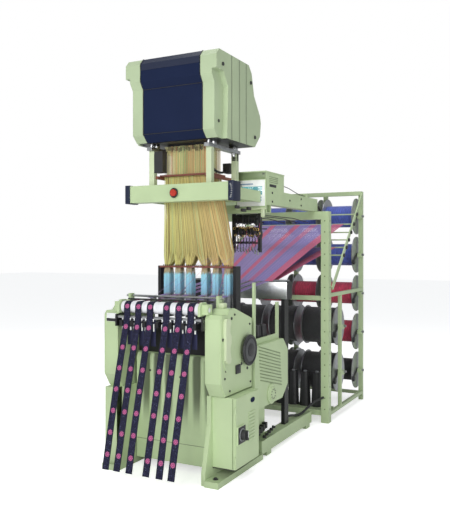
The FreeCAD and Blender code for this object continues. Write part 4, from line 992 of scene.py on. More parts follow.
class Repeater:
    """A node tree that lays copies of a mesh out in rows."""

    INPUTS = (
        ("Copies", "Int"), ("Step", "Vector"), ("Rows", "Int"), ("Row Step", "Vector"),
        ("Jitter", "Vector"), ("Material", "Material"),
    )
    SEED = 7

    def __init__(self) -> None:
        """Builds the tree once."""
        self.tree = bpy.data.node_groups.new("rows_of_copies", "GeometryNodeTree")
        face = self.tree.interface
        face.new_socket("Geometry", in_out="INPUT", socket_type="NodeSocketGeometry")
        face.new_socket("Geometry", in_out="OUTPUT", socket_type="NodeSocketGeometry")
        self.keys = {}
        for name, kind in self.INPUTS:
            socket = face.new_socket(name, in_out="INPUT", socket_type=f"NodeSocket{kind}")
            self.keys[name] = socket.identifier
        nodes, link = self.tree.nodes, self.tree.links.new
        given, result = nodes.new("NodeGroupInput"), nodes.new("NodeGroupOutput")
        grown = given.outputs["Geometry"]
        for count, step in (("Copies", "Step"), ("Rows", "Row Step")):
            line = nodes.new("GeometryNodeMeshLine")
            line.mode = "OFFSET"
            link(given.outputs[count], line.inputs["Count"])
            link(given.outputs[step], line.inputs["Offset"])
            spread = nodes.new("GeometryNodeInstanceOnPoints")
            link(line.outputs[0], spread.inputs["Points"])
            link(grown, spread.inputs["Instance"])
            flip = nodes.new("ShaderNodeVectorMath")
            flip.operation = "SCALE"
            flip.inputs["Scale"].default_value = -1.0
            link(given.outputs["Jitter"], flip.inputs[0])
            chance = nodes.new("FunctionNodeRandomValue")
            chance.data_type = "FLOAT_VECTOR"
            link(flip.outputs[0], chance.inputs[0])
            link(given.outputs["Jitter"], chance.inputs[1])
            chance.inputs["Seed"].default_value = self.SEED
            shake = nodes.new("GeometryNodeTranslateInstances")
            link(spread.outputs[0], shake.inputs["Instances"])
            link(chance.outputs[0], shake.inputs["Translation"])
            solid = nodes.new("GeometryNodeRealizeInstances")
            link(shake.outputs[0], solid.inputs[0])
            grown = solid.outputs[0]
        paint = nodes.new("GeometryNodeSetMaterial")
        link(grown, paint.inputs["Geometry"])
        link(given.outputs["Material"], paint.inputs["Material"])
        link(paint.outputs[0], result.inputs[0])

    def lay(
        self, name: str, item: Shape, finish: Finish, copies: int, step: tuple, rows: int = 1,
        row_step: tuple = (0, 0, 0), jitter: tuple = (0, 0, 0), body: Body = Body.LOOM,
    ) -> bpy.types.Object:
        """Repeats an item and keeps the result as a plain mesh.

        Args:
            name: The piece's name.
            item: The shape to repeat, in its first place.
            finish: The finish of every copy.
            copies: How many in a row.
            step: From one copy to the next, in millimetres.
            rows: How many rows.
            row_step: From one row to the next, in millimetres.
            jitter: The most that a copy strays, in millimetres.
            body: The body that the piece rides on.

        Returns:
            The new object.
        """
        thing = item.done(name, finish, body)
        change = thing.modifiers.new("rows", "NODES")
        change.node_group = self.tree
        for key, value in (("Step", step), ("Row Step", row_step), ("Jitter", jitter)):
            change[self.keys[key]] = tuple(size / 1000 for size in value)
        for key, value in (("Copies", copies), ("Rows", rows), ("Material", finish.material())):
            change[self.keys[key]] = value
        graph = bpy.context.evaluated_depsgraph_get()
        solid = bpy.data.meshes.new_from_object(thing.evaluated_get(graph))
        thing.modifiers.clear()
        thing.data = solid
        return thing


def strands(
    name: str, lines: np.ndarray, radius: tuple, finish: Finish, body: Body = Body.LOOM,
    seed: int = 1, tones: np.ndarray | None = None,
) -> bpy.types.Object:
    """Makes many thin four-sided threads in one mesh.

    Args:
        name: The piece's name.
        lines: Thread by point by three, in millimetres.
        radius: Half-widths of a thread along X, Y and Z; Z is 0 for an upright thread.
        finish: The threads' finish.
        body: The body that they ride on.
        seed: Seed for the threads' tones.
        tones: One tone for each thread, if they aren't random.

    Returns:
        The new object.
    """
    wide, deep, high = radius
    second = (0, 0, high) if high else (0, deep, 0)
    ring = np.array(((wide, 0, 0), second, (-wide, 0, 0), [-size for size in second]))
    corners = (lines[:, :, None, :] + ring[None, None, :, :]) / 1000
    corners[..., 1] += FRONT_EDGE
    if tones is None:
        tones = np.random.default_rng(seed).random(len(lines))
    form = bmesh.new()
    tone = form.verts.layers.float.new("tone")
    for thread, shade in zip(corners, tones):
        rows = []
        for section in thread:
            row = [form.verts.new(corner) for corner in section]
            for vertex in row:
                vertex[tone] = shade
            rows.append(row)
        for here, there in zip(rows, rows[1:]):
            bridge(form, here + here[:1], there + there[:1])
        form.faces.new(rows[0][::-1])
        form.faces.new(rows[-1])
    return settle(name, keep(form, name), finish, body)


# ------------------------------------------------------------------ sub-assemblies
@dataclass
class Harness:
    """The cords from the pattern head through the boards, and the heddle bundles below them."""

    rows: Repeater
    across: int = 90
    deep: int = 9
    half: float = 184
    front: float = 380
    depth: float = 160
    hook_up: float = 2238
    board_up: float = 2030
    fan_up: float = 1475
    comb_up: float = 1383
    spring_up: float = 1325
    foot_up: float = 1008

    def build(self) -> None:
        """Makes the cords, hooks and heddles."""
        spread = np.linspace(-1, 1, self.across)
        layers = np.linspace(0, 1, self.deep)
        u, v = (grid.ravel() for grid in np.meshgrid(spread, layers))
        chance = np.random.default_rng(3)
        u = np.clip(u + chance.normal(0, 0.004, u.size), -1, 1)
        level = np.ones_like(u)
        across, back = u * self.half, self.front + v * self.depth
        top = np.stack([across, back, level * self.hook_up], axis=1)
        board = np.stack([across, back, level * self.board_up], axis=1)
        bend = self.fan_up + chance.normal(0, 12, u.size)
        low = np.stack([u * 270, 502 + v * 84, bend], axis=1)
        group = np.clip(((u + 1) * 3).astype(int), 0, 5)
        inside = (u + 1) * 3 - group - 0.5
        centre = np.array(TAPE_CENTRES)[group] + inside * 40
        comb = np.stack([centre, 516 + v * 56, level * self.comb_up], axis=1)
        fan, drops = np.stack([board, low, comb], axis=1), np.stack([top, board], axis=1)
        lower = strands("harness_fan", fan, (2.1, 2.1, 0), HARNESS, seed=5)
        upper = strands("harness_drops", drops, (1.1, 1.1, 0), HARNESS_TOP, seed=6)
        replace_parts(lower, "harness_cords")
        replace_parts(upper, "harness_cords")
        hook = Shape().rod((-183, 381, 2208), 29, 2.6, Axis.Z, 0.5)
        self.rows.lay("hook_tips", hook, BLACK, 40, (9.4, 0, 0), 7, (0, 24, 0), (0, 0, 9))
        for body, middle, node in (
            (Body.ODD, 520.5, "odd_heddles"), (Body.EVEN, 564.5, "even_heddles"),
        ):
            self.bundles(body, middle, node)
        knot = Shape().rod((-268, 498, 1384), 10, 3.4, Axis.Z, 0.8)
        self.rows.lay("comb_knots", knot, DARK_BOARD, 34, (16.2, 0, 0))

    def bundles(self, body: Body, middle: float, node: str) -> None:
        """Makes one row of six heddle bundles.

        Args:
            body: The body that they ride on.
            middle: How far back their middle is.
            node: The node that they replace.
        """
        lines = []
        for centre in TAPE_CENTRES:
            for x in np.linspace(-21, 21, 13):
                for y in np.linspace(-15, 15, 5):
                    lines.append((
                        (centre + x, middle + y, self.foot_up),
                        (centre + x, middle + y, self.spring_up),
                        (centre + x * 0.85, middle + y * 0.12, self.comb_up + 1),
                    ))
        wires = strands(f"{node}_wires", np.array(lines), (1.35, 1.35, 0), HEDDLE, body, seed=9)
        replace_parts(wires, node)


@dataclass
class Tapes:
    """Six woven tapes over the take-up roller, hanging towards the operator."""

    wide: float = 51.0
    thick: float = 1.2
    columns: int = 7
    rear: float = 230
    leave_up: float = 1043
    end: tuple = (-231, 91)
    drifts: tuple = (2, -3, 1, -2, 3, -1)
    first_rosette: float = 39
    cup_from: float = 260

    def path(self, drift: float) -> list:
        """Works out the middle line of a tape.

        Args:
            drift: How far its free end strays sideways.

        Returns:
            Places as (sideways, back, up, along), in millimetres.
        """
        back, up, reach = ROLLER
        points = [(self.rear - 18 * step, up + reach) for step in range(10)]
        for step in range(1, 13):
            angle = math.radians(90 + 90 * step / 12)
            points.append((back + reach * math.cos(angle), up + reach * math.sin(angle)))
        points += [(back - reach, up - 24 * step) for step in (1, 2, 3)]
        start, end = Vector((back - reach, self.leave_up)), Vector(self.end)
        for step in range(1, 41):
            share = step / 40
            place = start.lerp(end, share)
            points.append((place.x - 5 * math.sin(math.pi * share), place.y))
        line, along = [], 0.0
        for number, point in enumerate(points):
            if number:
                along += math.dist(point, points[number - 1])
            share = max(0.0, (self.leave_up - point[1]) / (self.leave_up - self.end[1]))
            line.append((drift * share ** 2 + 1.4 * math.sin(5 * share + drift), *point, along))
        return line

    def face(self, form: bmesh.types.BMesh, line: list, centre: float, drop: float) -> list:
        """Lays out the corners of one face of a tape.

        Args:
            form: The mesh that they go into.
            line: The tape's middle line.
            centre: The X of the tape.
            drop: How far the face lies off the line.

        Returns:
            Rows of corners.
        """
        along, across = form.verts.layers.float["along"], form.verts.layers.float["across"]
        grid = []
        for step, (drift, back, up, run) in enumerate(line):
            before, after = line[max(step - 1, 0)], line[min(step + 1, len(line) - 1)]
            ahead = Vector((after[1] - before[1], after[2] - before[2])).normalized()
            out = Vector((ahead.y, -ahead.x)) * drop
            row = []
            for column in range(self.columns):
                share = column / (self.columns - 1) - 0.5
                cup = 1.1 * (share * 2) ** 2 if run > self.cup_from else 0.0
                place = at(centre + drift + share * self.wide, back + out.x - cup, up + out.y)
                vertex = form.verts.new(place)
                vertex[along] = (run + self.first_rosette) / 1000
                vertex[across] = share * self.wide / 1000
                row.append(vertex)
            grid.append(row)
        return grid

    def build(self) -> None:
        """Makes the tapes, each a thin closed strip."""
        for number, (centre, drift) in enumerate(zip(TAPE_CENTRES, self.drifts)):
            line = self.path(drift)
            form = bmesh.new()
            for name in ("along", "across"):
                form.verts.layers.float.new(name)
            enclose(form, *(self.face(form, line, centre, drop) for drop in (0.0, -self.thick)))
            name = f"woven_tape_{number + 1}"
            tape = settle(name, keep(form, name), TAPE, Body.LOOM)
            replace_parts(tape, "woven_tapes")
            LOG.info("%s is %.0f mm long", name, line[-1][3])


@dataclass
class WarpLayers:
    """The warp threads from the creel over the stop motion to the heddles and the fell."""

    threads: int = 230
    ribbon_threads: int = 26
    stripes: tuple = (
        (-0.62, -0.50, 0.95), (-0.06, 0.06, 0.95), (0.30, 0.44, 0.87), (0.78, 1.01, 0.95),
    )

    def layer(self, name: str, stops: list, seed: int) -> bpy.types.Object:
        """Makes one layer of threads.

        Args:
            name: The layer's name.
            stops: The (half width, back, up) places that it runs through.
            seed: Seed for the threads' tones.

        Returns:
            The new object.
        """
        spread = np.linspace(-1, 1, self.threads)
        lines = [[(share * half, back, up) for half, back, up in stops] for share in spread]
        tones = np.random.default_rng(seed).uniform(0.15, 0.62, self.threads)
        for low, high, tone in self.stripes:
            tones[(spread > low) & (spread < high)] = tone
        return strands(name, np.array(lines, dtype=float), (1.75, 0, 0.5), WARP, tones=tones)

    def build(self) -> None:
        """Makes the two creel layers and the six ribbons to the heddles."""
        upper = [(470, 2549, 1750), (380, 1885, 1511), (300, 1200, 1252)]
        lower = [(470, 2313, 1527), (385, 1840, 1402), (300, 1292, 1253)]
        for name, stops, seed in (("warp_upper", upper, 11), ("warp_lower", lower, 12)):
            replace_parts(self.layer(name, stops, seed), "warp_sheets")
        for number, centre in enumerate(TAPE_CENTRES):
            lines = []
            for share in np.linspace(-0.5, 0.5, self.ribbon_threads):
                stops = ((60, 1200, 1252), (52, 700, 1196), (42, 470, 1172), (42, 272, 1160))
                lines.append([(centre + share * wide, back, up) for wide, back, up in stops])
            name = f"warp_ribbon_{number + 1}"
            strands(name, np.array(lines), (0.6, 0, 0.4), WARP, seed=20 + number)


@dataclass
class PatternHead:
    """Trim of the pattern head: seams, clamps, column threads, screw caps, band and creases."""

    rows: Repeater
    seam: float = 236
    column: float = 230
    cover: float = 364
    half: float = 232

    def build(self) -> None:
        """Makes the head's small pieces."""
        outline = (
            (238, 2249), (188, 2298), (183, 2300), (183, 2612), (148, 2661), (148, 2784),
            (184, 2824), (640, 2824),
        )
        for side, label in SIDES:
            x = side * self.column
            seam = Shape().wire([(side * self.seam, back, up) for back, up in outline], 3.0, 6)
            seam.done(f"hood_seam_{label}", BLACK)
            clamp = Shape()
            for back in (330, 650):
                clamp.box((x - 26, back - 22, 2222), (x + 26, back + 22, 2249), 3)
                clamp.rod((x, back, 2176), 40, 14, Axis.Z, 2)
            clamp.done(f"head_clamps_{label}", STEEL)
            spring = Shape().ring((x, 680, 2150), 23, 3, Axis.Z)
            self.rows.lay(f"column_thread_{label}", spring, BLACK, 7, (0, 0, 8))
        screws = Shape()
        for side in (1, -1):
            for back, up in ((235, 2732), (670, 2702), (740, 2320)):
                screws.rod((side * self.cover - 4, back, up), 8, 13, Axis.X, 2)
        screws.done("head_screw_caps", BLACK)
        section = [
            (152, 2740), (149, 2738), (149, 2783), (186, 2823), (640, 2826), (640, 2822),
            (188, 2820),
        ]
        Shape().prism(section, -self.half, self.half, 0.6).done("hood_band", SLATE)
        creases = Shape()
        for up in (2612, 2302):
            creases.wire([(-self.half - 2, 183, up), (self.half + 2, 183, up)], 2.4, 6)
        creases.done("hood_creases", BLACK)


@dataclass
class Overhead:
    """Trim of the overhead frame and the display."""

    rows: Repeater
    beam_up: float = 1893
    beam_end: tuple = (394, 434)
    arm_face: float = 430

    def build(self) -> None:
        """Makes the end caps, the display's panel and the arm's fixings."""
        caps = Shape()
        for side, _ in SIDES:
            low, high = sorted(side * x for x in self.beam_end)
            caps.box((low, 243, 1829), (high, 357, 1961), 4)
        caps.done("beam_end_caps", SLATE)
        # a light grey arc of small rods: a painted highlight on the rounded corner of the right end
        # cap
        arcs = Shape()
        for step in range(9):
            angle = math.radians(-80 + 20 * step)
            x, up = 412 + 10 * math.cos(angle), self.beam_up + 44 * math.sin(angle)
            arcs.rod((x, 239, up), 6, 5, Axis.Y, 1)
        arcs.done("beam_end_highlight_arc", GREY)
        Shape().ring((-20, 237, self.beam_up), 30, 5, Axis.Y).done("stop_rim", BLACK)
        # the visor's dark green is painted shade for the shaded front under the lid
        Shape().box((192, 777, 2020), (428, 790, 2072), 4).done("display_visor", GREEN_SHADE_AND_SEAM)
        Shape().box((186, 779, 2071), (434, 1134, 2080), 3).done("display_lid", GREEN)
        Shape().box((196, 776, 1822), (424, 784, 2014), 3).done("display_panel", WHITE)
        Shape().box((218, 773, 1905), (404, 779, 1966), 2).done("display_screen", TEAL)
        Shape().box((212, 773.5, 1980), (330, 778, 1990), 1).done("display_blank_strip", KEYS)
        key = Shape().box((220, 771, 1858), (238, 779, 1870), 1.5)
        self.rows.lay("display_keys", key, KEYS, 8, (23, 0, 0), 2, (0, 0, 20))
        Shape().box((404, 776, 2052), (424, 779, 2060), 1).done("display_mark", BLACK)
        # dark slots: painted shade inside the louvres
        slot = Shape().box((428, 845, 2040), (432, 1010, 2044), 1)
        self.rows.lay("display_louvres", slot, GREEN_SHADE_AND_SEAM, 4, (0, 0, -13))
        Shape().box((427, 850, 1968), (432, 975, 1988), 1.5).done("display_port", BLACK)
        screws = Shape()
        for back, up in ((900, 1925), (900, 1860), (1500, 1918), (1500, 1866), (1250, 1890)):
            screws.rod((self.arm_face, back, up), 5, 8, Axis.X, 2)
        screws.done("arm_screws", BLACK)
        shelf = Shape().box((190, 770, 1796), (430, 800, 1811), 3)
        shelf.box((398, 762, 1740), (426, 778, 1796), 3).done("display_bracket", GREEN_PALE)
        plugs = Shape()
        for x, back, up, size in ((330, 470, 1790, 20), (342, 540, 1770, 24), (354, 610, 1785, 18)):
            plugs.box((x, back, up), (x + size, back + 50, up + 22), 3)
        plugs.done("beam_connectors", BLACK)


@dataclass
class LoomBody:
    """Trim of the take-up, the panel, the housings, the guard, the motor and the rails."""

    rows: Repeater
    panel_half: float = 317
    panel_low: float = 44
    panel_high: float = 778
    panel_front: float = 223
    panel_rear: float = 239.4
    scoop_depth: float = 15
    post_offset: float = 33
    shaft: tuple = (400, 825)
    wheel_face: float = 476
    motor: tuple = (790, 455)
    cover_face: float = 455

    def panel(self) -> None:
        """Makes the pressed front skin, with a scoop behind each tape that runs out lower down."""
        across = np.linspace(-self.panel_half, self.panel_half, 128)
        x, z = np.meshgrid(across, np.linspace(self.panel_low, self.panel_high, 56))
        reach = np.abs(x[..., None] - np.array(TAPE_CENTRES) - 8).min(axis=2)
        scoop = 1 - np.clip((reach - 15) / 26, 0, 1)
        scoop = scoop ** 2 * (3 - 2 * scoop)
        fade = np.clip((z - 250) / 330, 0, 1)
        round_top = np.clip((z - 740) / 38, 0, 1) ** 2
        depth = np.clip(self.scoop_depth * scoop * fade + 13 * round_top, 0, self.scoop_depth)
        form = bmesh.new()
        tone = form.verts.layers.float.new("tone")
        skins = []
        # the stored tone is painted shade: scoop times fade, read by the pressed paint to darken
        # the scoops
        for back, shade in (
            (self.panel_front + depth, scoop * fade), (np.full_like(x, self.panel_rear), x * 0),
        ):
            grid = []
            for places in zip(x, back, z, shade):
                row = []
                for *place, dark in zip(*places):
                    vertex = form.verts.new(at(*place))
                    vertex[tone] = dark
                    row.append(vertex)
                grid.append(row)
            skins.append(grid)
        enclose(form, *skins)
        settle("panel_skin", keep(form, "panel_skin"), PRESSED_LIT)

    def take_up(self) -> None:
        """Makes the tape guides, the plate beside them, the fell rod and the roller's cheeks."""
        Shape().box((-432, 26, 1010), (-352, 31, 1068), 2).done("left_plate", WHITE)
        Shape().box((-430, 24, 1012), (-354, 28, 1032), 1).done("left_plate_band", BLACK)
        caps, posts, backs = Shape(), Shape(), Shape()
        for centre in TAPE_CENTRES:
            for side, _ in SIDES:
                x = centre + side * self.post_offset
                caps.rod((x - side * 2, 6, 1026), 20, 5, Axis.Z, 2)
                posts.box((x - 4, 2, 962), (x + 4, 12, 1012), 2)
            backs.box((centre - 2, 21, 862), (centre + 39, 23, 1034), 0.4)
        caps.done("guide_caps", ALUMINIUM)
        posts.done("tape_guide_posts", WHITE)
        backs.done("tape_returns", TAPE_BACK)
        Shape().wire([(-338, 150, 1160), (338, 150, 1160)], 6).done("fell_rod", BLACK)
        outline = [(-4, 1075), (-4, 1135), (24, 1164), (78, 1164), (104, 1135), (104, 1075)]
        for side, label in SIDES:
            low, high = sorted((side * 306, side * 322))
            Shape().prism(outline, low, high, 3).done(f"roller_cheek_{label}", GREEN)

    def housing(self) -> None:
        """Makes the handwheel's face and the right cover's button pad, rib and screw pits."""
        face = Shape().rod((self.wheel_face, *self.shaft), 14, 78, Axis.X, 4)
        face.done("handwheel_face", DARK_GREY, Body.SHAFT)
        hub = Shape().rod((self.wheel_face + 10, *self.shaft), 10, 42, Axis.X, 4)
        hub.done("handwheel_hub", BLACK, Body.SHAFT)
        x = self.cover_face
        Shape().box((x, 232, 686), (x + 11, 294, 744), 3).done("button_pad", BLACK)
        outline = [
            (60, 1046), (60, 800), (84, 776), (122, 776), (132, 800), (118, 850), (118, 880),
            (136, 905), (136, 945), (116, 970), (116, 1000), (130, 1030), (118, 1058), (76, 1062),
        ]
        Shape().prism(outline, x, x + 23, 9).done("cover_rib", GREEN_PALE)
        pits = Shape()
        for back, up in ((54, 930), (96, 728), (322, 742), (412, 700), (176, 1056)):
            pits.rod((x - 1, back, up), 6, 10, Axis.X, 2)
        pits.done("cover_pits", BLACK)

    def build(self) -> None:
        """Makes the take-up, the skins and their fixings, the guard's ribs and the motor's end."""
        self.take_up()
        self.panel()
        # the crease is a dark green line of painted shade
        crease = Shape().wire([(-316, 224, 178), (316, 224, 178)], 2.0, 6)
        crease.done("panel_crease", GREEN_SHADE_AND_SEAM)
        # a black sheet at the back of the recess: painted shade
        Shape().box((-318, 251, 786), (318, 254, 996), 2).done("recess_panel", BLACK_PAINT)
        holes = Shape()
        for x, up in ((-205, 660), (-50, 640), (40, 632)):
            holes.rod((x, 221, up), 8, 8, Axis.Y, 2)
        holes.done("panel_plugs", BLACK)
        ears = Shape()
        for side, _ in SIDES:
            low, high = sorted((side * 352, side * 396))
            ears.box((low, 178, 1116), (high, 236, 1152), 8)
        ears.done("housing_ears", GREEN_PALE)
        # the ribs are dark green as painted shade for the shadows between them
        ribs = Shape().box((470, 560, 772), (474, 960, 779), 1.5, -14)
        self.rows.lay("guard_ribs", ribs, GREEN_SHADE_AND_SEAM, 11, (0, 3, -24))
        bell = Shape().rod((466, *self.motor), 14, 74, Axis.X, 5)
        bell.rod((478, *self.motor), 10, 52, Axis.X, 4).done("motor_end", GREEN)
        fins = Shape()
        for step in range(10):
            angle = math.radians(36 * step)
            back, up = self.motor[0] + 34 * math.cos(angle), self.motor[1] + 34 * math.sin(angle)
            fins.rod((487, back, up), 3, 5, Axis.X, 1)
        fins.done("motor_end_holes", BLACK)
        self.housing()
        anchors = Shape()
        for x in (-400, 400):
            for back in (60, 640):
                anchors.rod((x, back, 40), 4, 18, Axis.Z, 1).rod((x, back, 44), 9, 10, Axis.Z, 2)
        anchors.done("anchor_bolts", BLACK)
        cones = Shape()
        for step in range(5):
            cones.rod((428, 735 + 42 * step, 150 + 8 * step), 26, 12, Axis.X, 3, 9)
        cones.done("socket_plugs", BLACK)


@dataclass
class Cabinet:
    """Trim of the control cabinet."""

    rows: Repeater
    door_face: float = 519.5
    switch: tuple = (178, 312)

    def build(self) -> None:
        """Makes the door's louvres, badge and switch plate, and the case's seam and plinth."""
        slot = [(300, 240), (300, 252), (392, 252), (392, 240)]
        louvre = Shape().prism(slot, self.door_face, 524, 1.5)
        self.rows.lay("door_louvres", louvre, GREEN, 9, (0, 0, 22), body=Body.DOOR)
        outline = [
            (330, 508), (345, 518), (375, 518), (390, 508), (390, 496), (375, 486), (345, 486),
            (330, 496),
        ]
        badge = Shape().prism(outline, self.door_face, 523, 1)
        badge.done("door_badge", NAVY, Body.DOOR)
        plate = Shape().box((528, 126, 258), (532, 230, 366), 3)
        plate.done("switch_plate_face", BLACK, Body.DOOR)
        ring = Shape().ring((533, *self.switch), 38, 4, Axis.X)
        ring.done("switch_ring", GREY, Body.DOOR)
        mark = Shape().box((573, 175, 300), (577, 181, 340), 1)
        mark.done("switch_mark", WHITE, Body.SWITCH)
        Shape().box((496, 107, 104), (500, 111, 552), 1).done("cabinet_seam", GREEN_SHADE_AND_SEAM)
        Shape().box((352, 112, 92), (508, 440, 101), 2).done("cabinet_plinth", BLACK)


@dataclass
class Feeders:
    """The weft feeders' discs, eyelets, wires, weights and rods, and the yarns they lead."""

    first: float = 158
    pitch: float = 24
    yarn_pitch: float = 34

    def build(self) -> None:
        """Makes the crowded black cluster under the right arm."""
        chance = np.random.default_rng(8)
        discs, eyelets, hooks, weights, bars = Shape(), Shape(), Shape(), Shape(), Shape()
        for step in range(9):
            x = self.first + self.pitch * step
            drop = chance.uniform(-18, 18)
            back = 845 + chance.uniform(-25, 25)
            discs.rod((x, back, 1726 + drop), 5, 26 + 8 * (step % 2), Axis.X, 1)
            back = 850 + chance.uniform(-30, 30)
            discs.rod((x + 6, back, 1636 + drop), 6, 20 + 9 * (step % 3), Axis.X, 1)
            eyelets.ring((x + 4, 806, 1668 + drop), 9, 2.6, Axis.Y)
            eyelets.ring((x + 12, 814, 1604 - drop), 8, 2.4, Axis.Y)
            hooks.wire([
                (x, 838, 1760 + drop / 2), (x + 5, 800, 1702), (x - 3, 788, 1650),
                (x + 6, 806, 1596 + drop), (x, 820, 1545),
            ], 2.6, 6)
            hooks.wire([
                (x + 10, 812, 1590), (x + 16, 792, 1548 + drop), (x + 6, 800, 1500),
                (x + 14, 812, 1486),
            ], 2.2, 6)
            weights.rod((x + 2, 818, 1490 + 1.6 * drop), 34, 7, Axis.Z, 2, 5)
        for up, back, start, end in (
            (1768, 900, 135, 362), (1706, 930, 150, 350), (1660, 960, 140, 362),
            (1560, 812, 150, 330),
        ):
            bars.wire([(start, back, up), (end, back, up)], 4)
        for x in (140, 262, 362):
            bars.wire([(x, 845, 1760), (x, 1500, 1762), (x, 1850, 1740)], 3.5)
        discs.done("feeder_discs", BLACK)
        eyelets.done("feeder_eyelets", BRASS)
        hooks.done("feeder_hooks", BLACK)
        weights.done("feeder_weights", GREY)
        bars.done("feeder_bars", BLACK)
        picks = []
        for step, centre in enumerate(TAPE_CENTRES):
            x = 190 + self.yarn_pitch * step
            picks.append([
                (x, 830, 1700), (x + 2, 806, 1600), (x - 20, 640, 1500),
                (centre * 0.5 + 170, 420, 1392), (centre + 58, 262, 1182),
            ])
        strands("weft_yarns", np.array(picks, dtype=float), (0.8, 0, 0.8), WARP, seed=40)


@dataclass
class Creel:
    """Trim of the creel, from the post holes to the brake weights, and of the stop motion."""

    rows: Repeater
    holes: int = 18
    hole_pitch: float = 96
    rod_front: tuple = (1935, 1165)
    rod_rear: tuple = (2880, 2060)
    tube_pitch: float = 112

    def build(self) -> None:
        """Makes the creel's repeated and hanging pieces."""
        # the holes are dark green discs of painted shade
        for name, place, axis in (
            ("post_holes", (515, 1847.5, 120), Axis.Y),
            ("post_side_holes", (548, 1885, 120), Axis.X),
        ):
            hole = Shape().rod(place, 4, 6, axis, 0)
            self.rows.lay(name, hole, GREEN_SHADE_AND_SEAM, self.holes, (0, 0, self.hole_pitch))
        collars = Shape()
        for share in (0.24, 0.35, 0.44, 0.52, 0.60, 0.68):
            back, up = Vector(self.rod_rear).lerp(Vector(self.rod_front), share)
            for x in (562, -576):
                collars.rod((x, back, up), 14, 17, Axis.X, 3)
        collars.done("rod_collars", BLACK)
        levers, weights = Shape(), Shape()
        for back, up in REAR_BEAMS + FRONT_BEAMS:
            outline = [
                (back - 20, up + 18), (back + 20, up + 18), (back - 110, up - 66),
                (back - 150, up - 60),
            ]
            for side, _ in SIDES:
                low, high = sorted((side * 502, side * 508))
                levers.prism(outline, low, high, 1.5)
                weights.rod((side * 505 - 12, back - 134, up - 70), 24, 26, Axis.X, 4)
        levers.done("brake_levers", BLACK)
        weights.done("brake_weights", BLACK)
        tubes = Shape()
        for place in range(8):
            tubes.rod(((place - 3.5) * self.tube_pitch, 2000, 404), 14, 16, Axis.Z, 3)
        tubes.done("package_tubes", GREY)
        plate = Shape().box((-300, 1184, 1112), (432, 1190, 1248), 3)
        plate.done("stop_motion_face", STEEL)
        bars = Shape()
        for step in range(4):
            back = 1200 + 24 * step
            for low, high in ((-420, -306), (306, 420)):
                bars.box((low, back, 1249.5), (high, back + 10, 1262), 2)
        bars.done("stop_motion_bars", GREY)
        drop = Shape().box((-296, 1184, 1150), (-294, 1189, 1232), 0.4)
        self.rows.lay("drop_wires", drop, BLACK, 60, (10, 0, 0))


@dataclass
class Cable:
    """One cable between two pieces."""

    name: str
    node: str
    diameter: float
    length: float
    places: tuple

    def build(self) -> None:
        curve = bpy.data.curves.new(self.name, "CURVE")
        curve.dimensions = "3D"
        spline = curve.splines.new("NURBS")
        spline.points.add(len(self.places) - 1)
        for point, place in zip(spline.points, self.places):
            point.co = (*place, 1.0)
        spline.order_u = 3
        spline.use_endpoint_u = True
        spline.resolution_u = 12
        curve.bevel_depth = self.diameter / 2
        curve.bevel_resolution = 4
        curve.use_fill_caps = True
        curve.materials.append(RUBBER.material())
        thing = show(self.name, curve)
        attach(thing, Body.LOOM.value)
        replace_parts(thing, self.node)
        LOG.info("%s takes the place of %s", self.name, self.node)


CABLES = (
    Cable("display_lead", "display_cable", 0.006, 0.533, (
        (0.400, 0.780, 2.000), (0.400, 0.840, 2.000), (0.406, 0.905, 1.994), (0.409, 0.975, 1.984),
        (0.409, 1.050, 1.972), (0.406, 1.125, 1.963), (0.402, 1.200, 1.958), (0.400, 1.260, 1.957),
        (0.400, 1.310, 1.957),
    )),
    Cable("head_lead", "head_cable", 0.016, 0.434, (
        (0.186, -0.005, 2.250), (0.186, -0.005, 2.210), (0.187, -0.003, 2.165),
        (0.188, 0.008, 2.125), (0.189, 0.035, 2.090), (0.190, 0.070, 2.068),
        (0.190, 0.112, 2.056), (0.189, 0.160, 2.051), (0.187, 0.208, 2.053),
        (0.180, 0.250, 2.063), (0.180, 0.290, 2.063),
    )),
    Cable("post_lead", "post_hose", 0.018, 0.416, (
        (0.400, 1.555, 1.893), (0.400, 1.595, 1.893), (0.407, 1.635, 1.880), (0.420, 1.668, 1.853),
        (0.435, 1.688, 1.815), (0.451, 1.694, 1.772), (0.466, 1.686, 1.729), (0.479, 1.664, 1.692),
        (0.490, 1.636, 1.665), (0.497, 1.605, 1.652), (0.497, 1.570, 1.652),
    )),
    Cable("floor_lead", "floor_hose", 0.020, 0.598, (
        (0.390, 0.935, 0.165), (0.390, 0.985, 0.165), (0.394, 1.040, 0.156), (0.399, 1.095, 0.144),
        (0.405, 1.150, 0.136), (0.412, 1.208, 0.138), (0.422, 1.265, 0.152), (0.435, 1.318, 0.174),
        (0.453, 1.366, 0.196), (0.474, 1.410, 0.213), (0.500, 1.456, 0.222), (0.500, 1.500, 0.222),
    )),
)


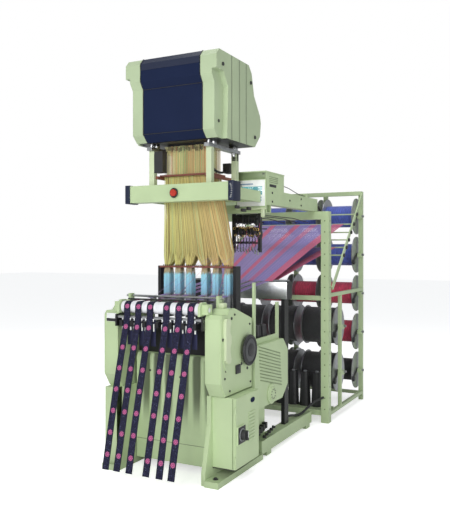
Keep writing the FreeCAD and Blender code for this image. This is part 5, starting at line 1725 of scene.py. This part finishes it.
# ------------------------------------------------------------------ studio
@dataclass
class Studio:
    """Camera, floor and lights."""

    stand: tuple = (2.409, -4.051, 1.5)
    turn: float = 27.3
    lens: float = 47.6
    shift: float = -0.007
    aim: tuple = (0.1, 0.6, 1.3)
    floor_half: float = 30.0
    ambient: float = 0.42

    def camera(self) -> None:
        """Places the camera, level, in front and to the right."""
        data = bpy.data.cameras.new("view")
        data.lens, data.sensor_width, data.shift_y = self.lens, 36.0, self.shift
        thing = show("view", data)
        thing.location = self.stand
        thing.rotation_euler = (math.radians(90), 0, math.radians(self.turn))
        bpy.context.scene.camera = thing

    def light(self, name: str, place: tuple, size: float, power: float) -> None:
        """Adds a soft square light aimed at the loom's middle.

        Args:
            name: The light's name.
            place: Where it stands, in metres.
            size: How wide it is, in metres.
            power: How strong it is, in watts.
        """
        data = bpy.data.lights.new(name, "AREA")
        data.size, data.energy = size, power
        thing = show(name, data)
        thing.location = place
        towards = Vector(self.aim) - Vector(place)
        thing.rotation_euler = towards.to_track_quat("-Z", "Y").to_euler()

    def world(self) -> None:
        """Makes a soft sky that is plain white where the camera sees it."""
        world = bpy.data.worlds.new("studio")
        world.use_nodes = True
        nodes, link = world.node_tree.nodes, world.node_tree.links.new
        soft, output = nodes["Background"], nodes["World Output"]
        soft.inputs["Color"].default_value = (0.95, 0.98, 1.0, 1.0)
        soft.inputs["Strength"].default_value = self.ambient
        seen = nodes.new("ShaderNodeBackground")
        seen.inputs["Color"].default_value = (1.0, 1.0, 1.0, 1.0)
        kind, pick = nodes.new("ShaderNodeLightPath"), nodes.new("ShaderNodeMixShader")
        link(kind.outputs["Is Camera Ray"], pick.inputs[0])
        link(soft.outputs[0], pick.inputs[1])
        link(seen.outputs[0], pick.inputs[2])
        link(pick.outputs[0], output.inputs["Surface"])
        bpy.context.scene.world = world

    def build(self) -> None:
        """Makes the whole studio."""
        self.camera()
        form = bmesh.new()
        bmesh.ops.create_grid(form, x_segments=2, y_segments=2, size=self.floor_half)
        data = bpy.data.meshes.new("studio_floor")
        form.to_mesh(data)
        form.free()
        data.materials.append(FLOOR.material())
        show("studio_floor", data)
        self.light("key", (0.8, -6.4, 3.4), 3.2, 270.0)
        self.light("fill", (5.2, -2.0, 1.1), 2.6, 75.0)
        self.light("top", (0.5, 1.0, 6.5), 4.0, 120.0)
        self.light("rear", (-4.5, 5.5, 4.0), 3.5, 50.0)
        self.world()
        bpy.context.scene.view_settings.view_transform = "Standard"


def main() -> None:
    """Builds the loom's looks."""
    logging.basicConfig(level=logging.INFO)
    Studio().build()
    for cable in CABLES:
        cable.build()
    dress_frame()
    rows = Repeater()
    Harness(rows).build()
    Tapes().build()
    WarpLayers().build()
    for assembly in (PatternHead(rows), Overhead(rows), LoomBody(rows), Cabinet(rows)):
        assembly.build()
    Feeders().build()
    Creel(rows).build()


if __name__ == "__main__":
    main()
